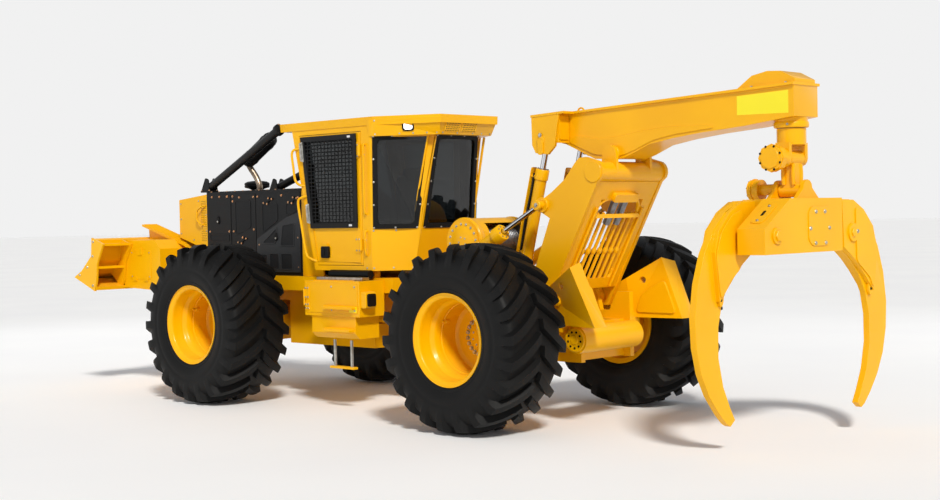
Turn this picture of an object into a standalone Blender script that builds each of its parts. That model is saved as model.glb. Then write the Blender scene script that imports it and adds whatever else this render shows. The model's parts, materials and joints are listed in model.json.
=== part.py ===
"""Grapple skidder, full size: an articulated forestry tractor with a blade, an arch, a boom and a grapple.

Metres, +Z up, front towards -Y, the machine's left side towards +X. Every size below is given in the
machine's own frame, whose origin is on the ground under the rear axle. One empty moves the whole
machine along Y so that the finished model is centred on the world's origin.
"""
import math

import bmesh
import bpy
from mathutils import Matrix, Vector

# ---- driving dimensions ----
TRACK = 2.60
WHEELBASE = 4.05
TYRE_R = 0.905
TYRE_HALF = 0.385
RIM_R = 0.443
CENTRING_SHIFT = 1.971   # puts the middle of the length on the world's Y = 0
GAP = 0.0005             # between pieces that touch
BORE_GAP = 0.007         # between a cylinder's rod and its bore
WHEEL_STEPS = 24

FRONT_AXLE_Y = -WHEELBASE
JOINT_Y = -1.95          # articulation axis
BLADE_PIVOT = (0.0, -4.72, 1.10)
BLADE_CYL_X = 0.25
BLADE_CYL_BASE = (-5.20, 1.95)   # y, z
BLADE_CYL_EYE = (-5.45, 1.30)
STEER_X = 0.30
STEER_Z = 0.95
STEER_BASE_Y = JOINT_Y - 0.50
STEER_EYE_Y = JOINT_Y + 0.60
DOOR_HINGE = (0.797, -2.085, 1.52)
WINCH = (0.0, -0.95, 1.80)
ARCH_PIVOT = (0.0, 0.12, 1.22)
ARCH_PLATE_X = (0.48, 0.52)
ARCH_CYL_X = 0.565
ARCH_CYL_BASE = (-1.00, 1.50)
ARCH_CYL_EYE = (0.25, 2.161)
LIFT_CYL_X = 0.27
LIFT_CYL_BASE = (-0.32, 1.15)
LIFT_CYL_EYE = (0.12, 2.80)
BOOM_PIVOT = (0.0, 0.90, 2.64)
GRAPPLE_Y = 2.735
LINK_Z = 2.52            # upper cross pin, along X
HEAD_Z = 2.235           # lower cross pin, along Y
TONG_PIN = (0.676, 1.847)        # x, z of the left tong's pin

CAB_HALF = 0.78
CAB_FLOOR_Z = 1.50
CAB_TOP_Z = 3.06
KINK_Y = -1.95           # where the cab's side walls turn inwards
WALL = 0.045

# ---- scene, collections, materials ----
for old in list(bpy.data.objects):
    bpy.data.objects.remove(old)

MODEL = bpy.data.collections.new("grapple_skidder")
TOOLS = bpy.data.collections.new("cutters_and_tools")
bpy.context.scene.collection.children.link(MODEL)
bpy.context.scene.collection.children.link(TOOLS)


def material(name, rgb, roughness, metallic=0.0):
    made = bpy.data.materials.new(name)
    made.use_nodes = True
    shader = made.node_tree.nodes["Principled BSDF"]
    shader.inputs["Base Color"].default_value = (*rgb, 1.0)
    shader.inputs["Roughness"].default_value = roughness
    shader.inputs["Metallic"].default_value = metallic
    return made


YELLOW = material("yellow_paint", (0.85, 0.45, 0.01), 0.35)
BLACK = material("black_paint", (0.012, 0.012, 0.014), 0.45)
RUBBER = material("tyre_rubber", (0.015, 0.015, 0.016), 0.8)
CHROME = material("chromed_rod", (0.75, 0.76, 0.78), 0.12, 1.0)
STEEL = material("bare_steel", (0.30, 0.30, 0.32), 0.4, 1.0)
GLASS = material("tinted_glass", (0.02, 0.022, 0.025), 0.08)
VINYL = material("seat_vinyl", (0.02, 0.02, 0.022), 0.7)
IRON = material("cast_iron", (0.12, 0.12, 0.13), 0.6, 0.6)


# ---- bodies: one empty on each joint's axis ----
POINTS = {}


def body(name, point, parent=None):
    """An empty on a joint's axis, hung from its parent body's empty."""
    holder = bpy.data.objects.new("body_" + name, None)
    MODEL.objects.link(holder)
    start = Vector((0, 0, 0))
    if parent:
        holder.parent = parent
        start = POINTS[parent.name]
    holder.location = Vector(point) - start
    POINTS[holder.name] = Vector(point)
    return holder


MACHINE = bpy.data.objects.new("machine_centring", None)
MODEL.objects.link(MACHINE)
MACHINE.location = (0, CENTRING_SHIFT, 0)
POINTS[MACHINE.name] = Vector((0, 0, 0))

FRONT = body("front", (0, FRONT_AXLE_Y, 0), MACHINE)
REAR = body("rear", (0, JOINT_Y, 0), FRONT)
BLADE = body("blade", BLADE_PIVOT, FRONT)
ARCH = body("arch", ARCH_PIVOT, REAR)
BOOM = body("boom", BOOM_PIVOT, ARCH)
ROTATOR = body("rotator", (0, GRAPPLE_Y, LINK_Z), BOOM)
LINK = body("link", (0, GRAPPLE_Y, LINK_Z), ROTATOR)
HEAD = body("head", (0, GRAPPLE_Y, HEAD_Z), LINK)
WINCH_DRUM = body("winch_drum", WINCH, REAR)


# ---- building blocks ----
def new_object(name, mesh):
    made = bpy.data.objects.new(name, mesh)
    MODEL.objects.link(made)
    return made


def box(x, y, z, name="piece"):
    """A box given by its low and high limits along each axis."""
    bpy.ops.mesh.primitive_cube_add(size=1.0)
    made = bpy.context.active_object
    size = Vector((x[1] - x[0], y[1] - y[0], z[1] - z[0]))
    middle = Vector((x[0] + x[1], y[0] + y[1], z[0] + z[1])) / 2
    made.data.transform(Matrix.Diagonal((*size, 1.0)))
    made.location = middle
    made.name = name
    return made


def rod(start, end, radius, steps=16, name="piece"):
    """A cylinder between two points."""
    start, end = Vector(start), Vector(end)
    run = end - start
    bpy.ops.mesh.primitive_cylinder_add(vertices=steps, radius=radius, depth=run.length)
    made = bpy.context.active_object
    made.data.transform(run.to_track_quat("Z", "Y").to_matrix().to_4x4())
    made.location = (start + end) / 2
    made.name = name
    return made


def slab(outline, across, low, high, name="piece"):
    """A flat outline with thickness. across is the axis it is thick along: an X outline lists (y, z),
    a Y outline lists (x, z) and a Z outline lists (x, y)."""
    curve = bpy.data.curves.new(name, "CURVE")
    curve.dimensions = "2D"
    curve.fill_mode = "BOTH"
    curve.extrude = (high - low) / 2
    line = curve.splines.new("POLY")
    line.points.add(len(outline) - 1)
    for point, (u, v) in zip(line.points, outline):
        point.co = (u, v, 0, 1)
    line.use_cyclic_u = True
    drawn = new_object(name, curve)
    frames = {
        "X": Matrix(((0, 0, 1, (low + high) / 2), (1, 0, 0, 0), (0, 1, 0, 0), (0, 0, 0, 1))),
        "Y": Matrix(((1, 0, 0, 0), (0, 0, -1, (low + high) / 2), (0, 1, 0, 0), (0, 0, 0, 1))),
        "Z": Matrix.Translation((0, 0, (low + high) / 2)),
    }
    drawn.matrix_world = frames[across]
    return as_mesh(drawn)


def as_mesh(drawn):
    """A curve object made into a welded mesh object at the same place."""
    bpy.context.view_layer.update()
    name = drawn.name
    placed = drawn.matrix_world.copy()
    evaluated = drawn.evaluated_get(bpy.context.evaluated_depsgraph_get())
    mesh = bpy.data.meshes.new_from_object(evaluated)
    bpy.data.objects.remove(drawn)
    welded = bmesh.new()
    welded.from_mesh(mesh)
    bmesh.ops.remove_doubles(welded, verts=welded.verts, dist=1e-5)
    bmesh.ops.dissolve_limit(welded, angle_limit=0.001, verts=welded.verts, edges=welded.edges)
    bmesh.ops.recalc_face_normals(welded, faces=welded.faces)
    welded.to_mesh(mesh)
    welded.free()
    made = new_object(name, mesh)
    made.matrix_world = placed
    return made


def tube(points, radius, name="piece", sides=2):
    """A bent bar through the given points."""
    curve = bpy.data.curves.new(name, "CURVE")
    curve.dimensions = "3D"
    curve.bevel_depth = radius
    curve.bevel_resolution = sides
    curve.use_fill_caps = True
    line = curve.splines.new("POLY")
    line.points.add(len(points) - 1)
    for point, place in zip(line.points, points):
        point.co = (*place, 1)
    return as_mesh(new_object(name, curve))


def loft(lower, upper, name="piece"):
    """A solid between two rings with the same number of corners, both listed anticlockwise
    when looked at from the upper ring's side."""
    count = len(lower)
    faces = [list(range(count))[::-1], list(range(count, 2 * count))]
    faces += [[k, (k + 1) % count, (k + 1) % count + count, k + count] for k in range(count)]
    mesh = bpy.data.meshes.new(name)
    mesh.from_pydata([Vector(p) for p in (*lower, *upper)], [], faces)
    shaped = bmesh.new()
    shaped.from_mesh(mesh)
    bmesh.ops.triangulate(shaped, faces=shaped.faces)
    bmesh.ops.recalc_face_normals(shaped, faces=shaped.faces)
    shaped.to_mesh(mesh)
    shaped.free()
    return new_object(name, mesh)


def turned(profile, centre, name="piece", steps=WHEEL_STEPS):
    """A solid of revolution about a line along X. The profile lists (x, radius) from x high to low
    along the outside, and ends on the axis or where it began. A flat side points down."""
    closed = profile[0][1] > 0
    half_step = math.pi / steps
    reach = 1 / math.cos(half_step)
    mesh = bpy.data.meshes.new(name)
    places = [(r * reach * math.cos(half_step), r * reach * math.sin(half_step), x) for x, r in profile]
    edges = [(k, k + 1) for k in range(len(profile) - 1)]
    if closed:
        edges.append((len(profile) - 1, 0))
    mesh.from_pydata(places, edges, [])
    made = new_object(name, mesh)
    screw = made.modifiers.new("turn", "SCREW")
    screw.axis = "Z"
    screw.steps = screw.render_steps = steps
    screw.use_merge_vertices = True
    screw.merge_threshold = 0.0001
    made.rotation_euler = (0, math.radians(90), 0)
    made.location = centre
    return made


def mirror_x(points):
    return [(-p[0], *p[1:]) for p in points]


def join(base, *others):
    """Boolean unions: each other piece becomes a hidden tool."""
    return combine(base, "UNION", others)


def cut(base, *others):
    return combine(base, "DIFFERENCE", others)


def combine(base, operation, others):
    for k, other in enumerate(others):
        for group in list(other.users_collection):
            group.objects.unlink(other)
        TOOLS.objects.link(other)
        other.hide_render = True
        other.display_type = "WIRE"
        step = base.modifiers.new(f"{operation.lower()}_{k}", "BOOLEAN")
        step.operation = operation
        step.object = other
    return base


def finish(made, name, holder, look):
    """Name a finished sub-part, give it its material and hang it, with its tools, from its body."""
    made.name = name
    made.data.materials.clear()
    made.data.materials.append(look)
    for other in hung_from(made):
        other.parent = holder
        other.matrix_parent_inverse = Matrix.Identity(4)
        other.location = other.location - POINTS[holder.name]
    if made.name not in MODEL.objects:
        for group in list(made.users_collection):
            group.objects.unlink(made)
        MODEL.objects.link(made)
    return made


def hung_from(made):
    """The object and every tool its modifiers use, tools of tools too."""
    found = [made]
    for step in made.modifiers:
        if step.type == "BOOLEAN" and step.object not in found:
            found += hung_from(step.object)
    return found


def circle(u, v, radius, count, start=0.0, end=360.0):
    """Points along an arc, in degrees, as (u, v) pairs."""
    steps = count if end - start >= 360 else count - 1
    turns = [math.radians(start + (end - start) * k / steps) for k in range(count)]
    return [(u + radius * math.cos(t), v + radius * math.sin(t)) for t in turns]


SIDES = (("left", 1), ("right", -1))


# ---- wheels and axles ----
def wheel(name, side, axle_y):
    centre = (side * TRACK / 2, axle_y, TYRE_R)
    holder = body("wheel_" + name, centre, FRONT if axle_y < JOINT_Y else REAR)
    half = [(0.30, TYRE_R), (0.375, 0.85), (TYRE_HALF, 0.72), (0.345, 0.4435), (0.3405, 0.4435),
            (0.3225, 0.411),
            (0.30, 0.55), (0.34, 0.72), (0.28, 0.855)]
    ring = half + [(-x, r) for x, r in half[::-1]]
    finish(turned(ring[::-1], centre), "tyre_" + name, holder, RUBBER)
    rim = [(-0.10, 0), (-0.13, 0.13), (-0.13, 0.34), (0.16, 0.352), (0.20, 0.385), (0.335, 0.392),
           (0.355, RIM_R), (0.341, RIM_R), (0.323, 0.4105), (0.15, 0.37), (-0.15, 0.37), (-0.323, 0.4105),
           (-0.341, RIM_R), (-0.355, RIM_R), (-0.335, 0.392), (-0.155, 0.34), (-0.155, 0.20),
           (-0.30, 0.19), (-0.30, 0)]
    if side < 0:
        rim = [(-x, r) for x, r in rim[::-1]]
    finish(turned(rim, centre), "rim_" + name, holder, YELLOW)


def axle(name, y, holder):
    """A drive axle: round tube, differential and two hub ends that stop short of the wheels."""
    end = TRACK / 2 - 0.31
    casing = rod((-end, y, TYRE_R), (end, y, TYRE_R), 0.13)
    bowl = rod((-0.17, y, TYRE_R), (0.17, y, TYRE_R), 0.155)
    hubs = [rod((s * 0.72, y, TYRE_R), (s * end, y, TYRE_R), 0.17) for _, s in SIDES]
    join(casing, bowl, *hubs)
    return finish(casing, name, holder, YELLOW)


# ---- front frame ----
def front_frame():
    frame = box((-0.40, 0.40), (-5.25, -2.35), (0.62, 1.30))
    deck = box((-0.70, 0.70), (-4.50, -1.72), (1.26, 1.42))
    fore_deck = box((-0.48, 0.48), (-5.09, -4.45), (1.27, 1.419))
    nose = box((-0.45, 0.45), (-5.14, -5.10), (1.28, 2.03))
    skirt = box((-0.62, 0.62), (-3.05, -2.40), (0.80, 1.30))
    plates = [box((-0.17, 0.17), (-2.40, JOINT_Y), z) for z in ((1.17, 1.26), (0.62, 0.70))]
    rounds = [rod((0, JOINT_Y, z[0]), (0, JOINT_Y, z[1]), 0.17, 24) for z in ((1.17, 1.26), (0.62, 0.70))]
    lugs = []
    for _, s in SIDES:
        for gap in (-0.10, 0.08):
            x = s * BLADE_CYL_X + gap
            lugs.append(box((x, x + 0.02), (-5.26, -5.12), (1.88, 2.02)))
    gusset = [(-3.295, 1.40), (-2.93, 1.40), (-3.01, 1.90), (-3.10, 2.28), (-3.295, 2.40)]
    gussets = [slab(gusset, "X", *sorted((s * 0.595, s * 0.62))) for _, s in SIDES]
    pins = rod((-0.4995, *BLADE_PIVOT[1:]), (0.4995, *BLADE_PIVOT[1:]), 0.07, 20)
    join(frame, deck, fore_deck, nose, skirt, *plates, *rounds, *lugs, *gussets, pins)
    notch = box((-0.90, 0.90), (FRONT_AXLE_Y - 0.24, FRONT_AXLE_Y + 0.24), (0.50, 1.12))
    pocket = box((-0.70, 0.70), (-2.60, -2.30), (0.885, 1.015))
    cut(frame, notch, pocket)
    return finish(frame, "front_frame", FRONT, YELLOW)


def step_box(name, s):
    """The tool box beside the cab, which carries two treads and a bar hung on two cables."""
    def span(low, high):
        return sorted((s * low, s * high))

    chest = box(span(0.702, 1.06), (-2.75, -1.86), (1.02, 1.40))
    foot = [(0.702, 0.78), (0.98, 0.78), (1.04, 0.84), (1.04, 1.03), (0.702, 1.03)]
    lower = slab([(s * x, z) for x, z in foot], "Y", -2.66, -1.95)
    tread = box(span(0.95, 1.12), (-2.40, -1.92), (1.10, 1.125))
    low_tread = box(span(0.95, 1.12), (-2.40, -1.97), (0.86, 0.885))
    bar = box(span(0.93, 0.99), (-2.44, -2.05), (0.45, 0.475))
    cables = [rod((s * 0.96, y, 0.46), (s * 0.96, y, 0.80), 0.008, 8) for y in (-2.38, -2.11)]
    join(chest, lower, tread, low_tread, *cables, bar)
    finish(chest, "step_box_" + name, FRONT, YELLOW)


def hood():
    outer = box((-0.62, 0.62), (-5.098, -3.30), (1.4205, 2.42))
    inner = box((-0.60, 0.60), (-5.20, -3.33), (1.30, 2.395))
    cut(outer, inner)
    finish(outer, "engine_enclosure", FRONT, BLACK)
    shell = slab([(-5.70, 1.87), (-5.10, 1.70), (-5.10, 2.40), (-5.70, 2.34)], "X", -0.60, 0.60)
    hollow = slab([(-5.67, 1.60), (-5.00, 1.60), (-5.00, 2.375), (-5.67, 2.31)], "X", -0.575, 0.575)
    mouth = box((-0.47, 0.47), (-5.75, -5.60), (1.95, 2.28))
    cut(shell, hollow, mouth)
    finish(shell, "grille_housing", FRONT, YELLOW)
    grille = box((-0.4695, 0.4695), (-5.692, -5.68), (1.9505, 2.2795))
    finish(grille, "front_grille", FRONT, BLACK)
    finish(box((-0.34, 0.34), (-4.85, -3.60), (1.4205, 2.15)), "engine_block", FRONT, IRON)


def risers():
    for name, s in SIDES:
        bar = tube([(s * 0.53, -5.16, 2.47), (s * 0.775, -3.456, 3.105)], 0.05)
        foot = box((s * 0.53 - 0.07, s * 0.53 + 0.07), (-5.24, -5.08), (2.4205, 2.50))
        join(foot, bar)
        finish(foot, "riser_" + name, FRONT, BLACK)
    muffler = tube([(0.38, -4.60, 2.77), (0.42, -4.04, 3.05)], 0.09, sides=4)
    pipe = tube([(0.33, -4.42, 2.4205), (0.33, -4.42, 2.50), (0.34, -4.48, 2.60), (0.37, -4.55, 2.77)],
                0.035, sides=3)
    join(muffler, pipe)
    finish(muffler, "exhaust_stack", FRONT, BLACK)
    cap = rod((-0.05, -4.95, 2.4205), (-0.05, -4.95, 2.50), 0.07, 20)
    hat = rod((-0.05, -4.95, 2.49), (-0.05, -4.95, 2.555), 0.15, 20)
    join(cap, hat)
    finish(cap, "air_intake", FRONT, BLACK)


# ---- cab ----
def cab_ring(z, inset=0.0):
    """The cab's plan at a height: the front wall leans forwards and the rear wall leans back as they
    rise, and the sides turn inwards behind the doors."""
    rise = (z - CAB_FLOOR_Z) / (CAB_TOP_Z - CAB_FLOOR_Z)
    front = -2.89 - 0.35 * rise + inset
    rear = -1.63 + 0.25 * rise - inset
    corner = 0.46 - 0.13 * rise - 0.6 * inset
    side = CAB_HALF - inset
    kink = KINK_Y - 0.4 * inset
    return [(-side, front, z), (side, front, z), (side, kink, z), (corner, rear, z), (-corner, rear, z),
            (-side, kink, z)]


def wall_window(first, second, z_low, z_high, start, end, depth, shrink=0.0):
    """A pane or cutter on the wall between two corners of the cab's plan, from start to end as
    fractions of the wall's width, as thick as the two depths behind the outer face."""
    rows = []
    for z in (z_low + shrink, z_high - shrink):
        ring = cab_ring(z)
        a, b = Vector(ring[first]), Vector(ring[second])
        side = (b - a).normalized() * shrink
        rows.append((a.lerp(b, start) + side, a.lerp(b, end) - side))
    (low_a, low_b), (high_a, high_b) = rows
    out = (low_b - low_a).cross(high_a - low_a).normalized()
    ring = [low_a, low_b, high_b, high_a]
    return loft([p - out * depth[1] for p in ring], [p - out * depth[0] for p in ring])


WINDOWS = (
    ("windscreen", 0, 1, 1.72, 2.97, 0.10, 0.90),
    ("side_glass_left", 2, 3, 1.97, 2.93, 0.07, 0.90),
    ("side_glass_right", 5, 4, 1.97, 2.93, 0.07, 0.90),
    ("rear_glass", 3, 4, 1.97, 2.93, 0.06, 0.94),
)
DOOR = [(-2.835, 1.56), (-2.095, 1.56), (-2.095, 3.0), (-3.115, 3.0)]
DOOR_WINDOW = [(-2.90, 2.02), (-2.18, 2.02), (-2.18, 2.93), (-3.03, 2.93)]


def grown(outline, by):
    """An outline moved outwards by a distance, or inwards if that is negative."""
    moved = []
    for k, point in enumerate(outline):
        here, back, on = Vector(point), Vector(outline[k - 1]), Vector(outline[(k + 1) % len(outline)])
        first, second = (here - back).normalized(), (on - here).normalized()
        normals = Vector((first.y, -first.x)), Vector((second.y, -second.x))
        half = (normals[0] + normals[1]).normalized()
        moved.append(tuple(here + half * by / half.dot(normals[0])))
    return moved


def cab():
    shell = loft(cab_ring(CAB_FLOOR_Z), cab_ring(CAB_TOP_Z))
    inside = loft(cab_ring(CAB_FLOOR_Z + 0.05, WALL), cab_ring(CAB_TOP_Z - 0.04, WALL))
    openings = []
    for name, first, second, low, high, start, end in WINDOWS:
        if first == 5:
            openings.append(wall_window(second, first, low, high, 1 - end, 1 - start, (-0.08, 0.12)))
        else:
            openings.append(wall_window(first, second, low, high, start, end, (-0.08, 0.12)))
    for _, s in SIDES:
        low, high = sorted((s * 0.70, s * 0.90))
        openings.append(slab(grown(DOOR, 0.006), "X", low, high))
    posts = [rod((s * 0.41, -1.60, 1.95), (s * 0.377, -1.353, 2.925), 0.014, 8) for _, s in SIDES]
    feet = [box((s * 0.66 - 0.04, s * 0.66 + 0.04), (y - 0.05, y + 0.05), (1.4205, 1.52))
            for _, s in SIDES for y in (-2.70, -2.05)]
    cut(shell, inside, *openings)
    join(shell, *posts, *feet)
    finish(shell, "cab_shell", FRONT, YELLOW)
    for name, first, second, low, high, start, end in WINDOWS:
        if first == 5:
            pane = wall_window(second, first, low, high, 1 - end, 1 - start, (0.012, 0.020), 0.001)
        else:
            pane = wall_window(first, second, low, high, start, end, (0.012, 0.020), 0.001)
        finish(pane, name, FRONT, GLASS)
    lid = [(-0.80, -3.43), (0.80, -3.43), (0.80, -1.88), (0.448, -1.21), (-0.448, -1.21), (-0.80, -1.88)]
    skirt = [(-0.785, -1.96), (0.785, -1.96), (0.785, -1.90), (0.40, -1.27), (-0.40, -1.27), (-0.785, -1.90)]
    roof = loft([(x * 0.985, y, CAB_TOP_Z + GAP) for x, y in lid], [(x, y, 3.15) for x, y in lid])
    visor_low = [(x, y, 2.94) for x, y in skirt]
    visor_high = [(x, y, 3.12) for x, y in (*[(-0.795, -1.99), (0.795, -1.99)], *lid[2:])]
    visor = loft(visor_low, visor_high)
    join(roof, visor)
    room = [(x * 1.003, y + (0.002 if y > -1.7 else -0.002), z) for x, y, z in cab_ring(2.90)]
    room_top = [(x * 1.003, y + (0.002 if y > -1.7 else -0.002), z)
                for x, y, z in cab_ring(CAB_TOP_Z + GAP)]
    cut(roof, loft(room, room_top))
    finish(roof, "cab_roof", FRONT, YELLOW)
    seat = box((-0.26, 0.26), (-2.68, -2.06), (1.86, 1.98))
    backrest = box((-0.25, 0.25), (-2.17, -2.05), (1.90, 2.62))
    join(seat, slab(circle(0, -2.42, 0.17, 12), "Z", 1.5505, 1.90), backrest)
    finish(seat, "seat", FRONT, VINYL)
    console = slab([(-2.845, 1.5505), (-2.74, 1.5505), (-2.80, 2.05), (-2.86, 2.18), (-2.985, 2.18)],
                   "X", -0.30, 0.30)
    finish(console, "dash_console", FRONT, BLACK)


def door(name, s):
    hinge = (s * DOOR_HINGE[0], DOOR_HINGE[1], DOOR_HINGE[2])
    holder = body("door_" + name, hinge, FRONT)
    panel = slab(DOOR, "X", *sorted((s * (CAB_HALF - WALL), s * (CAB_HALF + 0.002))))
    cut(panel, slab(DOOR_WINDOW, "X", *sorted((s * 0.6, s * 0.9))))
    handle = box(sorted((s * 0.775, s * 0.796)), (-2.76, -2.66), (1.70, 1.80))
    x, y = s * 0.795, DOOR_HINGE[1] - 0.012
    knuckles = [rod((x, y - 0.01, z), (x, y - 0.01, z + 0.12), 0.018, 10) for z in (1.72, 2.74)]
    join(panel, handle, *knuckles)
    finish(panel, "door_" + name, holder, YELLOW)
    pane = slab(grown(DOOR_WINDOW, -0.001), "X", *sorted((s * 0.745, s * 0.753)))
    finish(pane, "door_glass_" + name, holder, GLASS)


# ---- blade ----
def blade():
    plate = [(-6.51, 1.89), (-6.53, 1.66), (-6.76, 1.47), (-6.93, 1.39), (-6.47, 1.22), (-6.42, 1.36),
             (-6.40, 1.57), (-6.25, 1.81)]
    face = [(-6.505, 1.88), (-6.525, 1.66), (-6.74, 1.475), (-6.88, 1.40), (-6.86, 1.37), (-6.70, 1.43),
            (-6.50, 1.60), (-6.475, 1.75), (-6.465, 1.86)]
    board = slab(face, "X", -1.34, 1.34)
    ends = [slab(plate, "X", *sorted((s * 1.338, s * 1.365))) for _, s in SIDES]
    ribs = [slab([(-6.52, 1.62), (-6.75, 1.46), (-6.49, 1.24), (-6.42, 1.36), (-6.40, 1.57), (-6.25, 1.80),
                  (-6.47, 1.86)], "X", *sorted((s * 0.935, s * 0.965))) for _, s in SIDES]
    sole = slab([(-6.86, 1.38), (-6.84, 1.36), (-6.46, 1.23), (-6.45, 1.27)], "X", -1.34, 1.34)
    top = box((-1.34, 1.34), (-6.49, -6.28), (1.785, 1.815))
    shelf = box((-1.34, 1.34), (-6.52, -6.41), (1.50, 1.53))
    beam = slab([(-6.50, 1.76), (-6.45, 1.25), (-5.72, 1.22), (-5.66, 1.27), (-5.66, 1.74), (-5.78, 1.85),
                 (-6.42, 1.85)], "X", -0.93, 0.93)
    join(board, *ends, *ribs, sole, top, shelf, beam)
    for _, s in SIDES:
        web = [(-6.46, 2.03), (-5.56, 1.77), (-5.16, 1.40), (-4.88, 1.27), *circle(-4.72, 1.10, 0.125, 9, 70, -90),
               (-5.10, 0.99), (-5.62, 1.24), (-6.0, 1.50), (-6.44, 1.78)]
        flange = [(-6.50, 2.045), (-5.56, 1.785), (-5.20, 1.46), (-5.22, 1.44), (-5.57, 1.76), (-6.50, 2.02)]
        low, high = sorted((s * 0.505, s * 0.545))
        wide = sorted((s * 0.42, s * 0.62))
        join(board, slab(web, "X", low, high), slab(flange, "X", *wide))
        for gap in (-0.115, 0.085):
            lug = [(-5.70, 1.22), (-5.42, 1.235), (-5.40, 1.30), (-5.42, 1.36), (-5.70, 1.42)]
            x = s * BLADE_CYL_X + gap
            join(board, slab(lug, "X", x, x + 0.03))
    finish(board, "blade", BLADE, YELLOW)


def cylinder(name, holder, base, eye, x, barrel_length, barrel_r, rod_r, tip=0.0):
    """A hydraulic cylinder in a plane of constant x: a bored barrel that hinges on its base pin and a
    chromed rod that slides in it. base and eye are (y, z)."""
    start = Vector((x, *base))
    end = Vector((x, *eye))
    line = (end - start).normalized()
    across = Vector((1, 0, 0))
    pivot = body(name + "_barrel", start, holder)
    sleeve = rod(start + line * 0.01, start + line * barrel_length, barrel_r, 12)
    collar = rod(start + line * (barrel_length - 0.10), start + line * (barrel_length + 0.004),
                 barrel_r * 1.12, 12)
    pin = rod(start - across * (barrel_r + 0.008), start + across * (barrel_r + 0.008), 0.028, 12)
    knuckle = rod(start - across * 0.04, start + across * 0.04, barrel_r * 0.95, 16)
    join(sleeve, collar, knuckle, pin)
    cut(sleeve, rod(start + line * (barrel_r + 0.03), start + line * (barrel_length + 0.1), rod_r + BORE_GAP, 12))
    finish(sleeve, name + "_barrel", pivot, YELLOW)
    slider = body(name + "_rod", end, pivot)
    stem = rod(end - line * ((end - start).length - barrel_length + tip), end, rod_r, 12)
    eye_ring = rod(end - across * 0.04, end + across * 0.04, rod_r * 1.6, 16)
    join(stem, eye_ring)
    finish(stem, name + "_rod", slider, CHROME)


def steering_cylinder(name, s):
    start = Vector((s * STEER_X, STEER_BASE_Y, STEER_Z))
    end = Vector((s * STEER_X, STEER_EYE_Y, STEER_Z))
    line = Vector((0, 1, 0))
    up = Vector((0, 0, 1))
    pivot = body(f"steer_{name}_barrel", start, FRONT)
    sleeve = rod(start - line * 0.043, start + line * 0.60, 0.05, 16)
    pin = rod(start - up * 0.055, start + up * 0.055, 0.028, 12)
    join(sleeve, pin)
    cut(sleeve, rod(start + line * 0.06, start + line * 0.64, 0.025 + BORE_GAP, 12))
    finish(sleeve, f"steer_{name}_barrel", pivot, YELLOW)
    slider = body(f"steer_{name}_rod", end, pivot)
    stem = rod(start + line * 0.48, end, 0.025, 12)
    ring = rod(end - up * 0.05, end + up * 0.05, 0.045, 14)
    join(stem, ring)
    finish(stem, f"steer_{name}_rod", slider, CHROME)


# ---- rear frame ----
def rear_frame():
    side = [(-1.20, 0.62), (0.62, 0.62), (0.62, 1.27), (0.46, 1.27), (0.36, 1.08), (0.24, 1.08), (0.20, 1.26),
            (0.12, 1.33), (-0.45, 1.40), (-0.60, 1.52), (-1.20, 1.52)]
    frame = slab(side, "X", 0.36, 0.42)
    other = slab(side, "X", -0.42, -0.36)
    front = box((-0.40, 0.40), (-1.19, -1.12), (0.63, 1.51))
    seat = box((-0.39, 0.39), (-1.18, -0.61), (1.46, 1.518))
    rear = box((-0.40, 0.40), (0.47, 0.54), (0.63, 1.00))
    sole = box((-0.39, 0.39), (-0.60, 0.53), (0.635, 0.70))
    wall = box((-0.395, 0.395), (-0.63, -0.57), (0.65, 1.505))
    plates = []
    for z in ((1.07, 1.16), (0.71, 0.80)):
        outline = [(-0.30, -1.18), (-0.17, JOINT_Y + 0.05), *circle(0, JOINT_Y, 0.17, 9, 180, 360),
                   (0.17, JOINT_Y + 0.05), (0.30, -1.18)]
        plates.append(slab(outline, "Z", *z))
    ears = []
    for _, s in SIDES:
        for z in ((0.86, 0.89), (1.01, 1.04)):
            low, high = sorted((s * 0.20, s * 0.40))
            ears.append(box((low, high), (-1.42, -1.18), z))
        low, high = sorted((s * 0.41, s * 0.475))
        ears.append(box((low, high), (-1.13, -0.87), (1.28, 1.60)))
        inner, outer = ((s * x, ARCH_PIVOT[1], ARCH_PIVOT[2]) for x in (0.41, 0.475))
        ears.append(rod(inner, outer, 0.09, 20))
        for x in ((0.17, 0.194), (0.346, 0.366)):
            ears.append(box(sorted((s * x[0], s * x[1])), (-0.58, -0.24), (0.66, 1.24)))
        ears.append(box(sorted((s * 0.28, s * 0.42)), (0.30, 0.52), (0.66, 1.0)))
        ears.append(box(sorted((s * 0.39, s * 0.615)), (0.26, 0.55), (0.93, 1.055)))
    across = rod((-0.30, 0.70, 0.86), (0.60, 0.70, 0.86), 0.135, 24)
    neck = box((-0.39, 0.39), (0.50, 0.68), (0.77, 0.95))
    pin = rod((-0.535, *ARCH_PIVOT[1:]), (0.535, *ARCH_PIVOT[1:]), 0.033, 16)
    wings = [wing(s) for _, s in SIDES]
    join(frame, other, front, seat, rear, sole, wall, *plates, *ears, neck, across, *wings, pin)
    holes = rod((-1.0, 0.62, 1.38), (1.0, 0.62, 1.38), 0.035, 12)
    cut(frame, box((-0.9, 0.9), (-0.20, 0.20), (0.5, 1.085)), holes)
    finish(frame, "rear_frame", REAR, YELLOW)


def wing(s):
    """A V-shaped guard beside the arch's foot, which keeps logs off the tyres."""
    lower = [(0.535, 0.24, 1.00), (0.80, 1.10, 1.00), (0.605, 1.087, 1.00), (0.535, 0.50, 1.00)]
    upper = [(0.535, 0.24, 1.30), (0.839, 0.843, 1.566), (0.647, 0.813, 1.609), (0.535, 0.45, 1.40)]
    if s < 0:
        lower, upper = mirror_x(lower[::-1]), mirror_x(upper[::-1])
    return loft(lower, upper)


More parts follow.
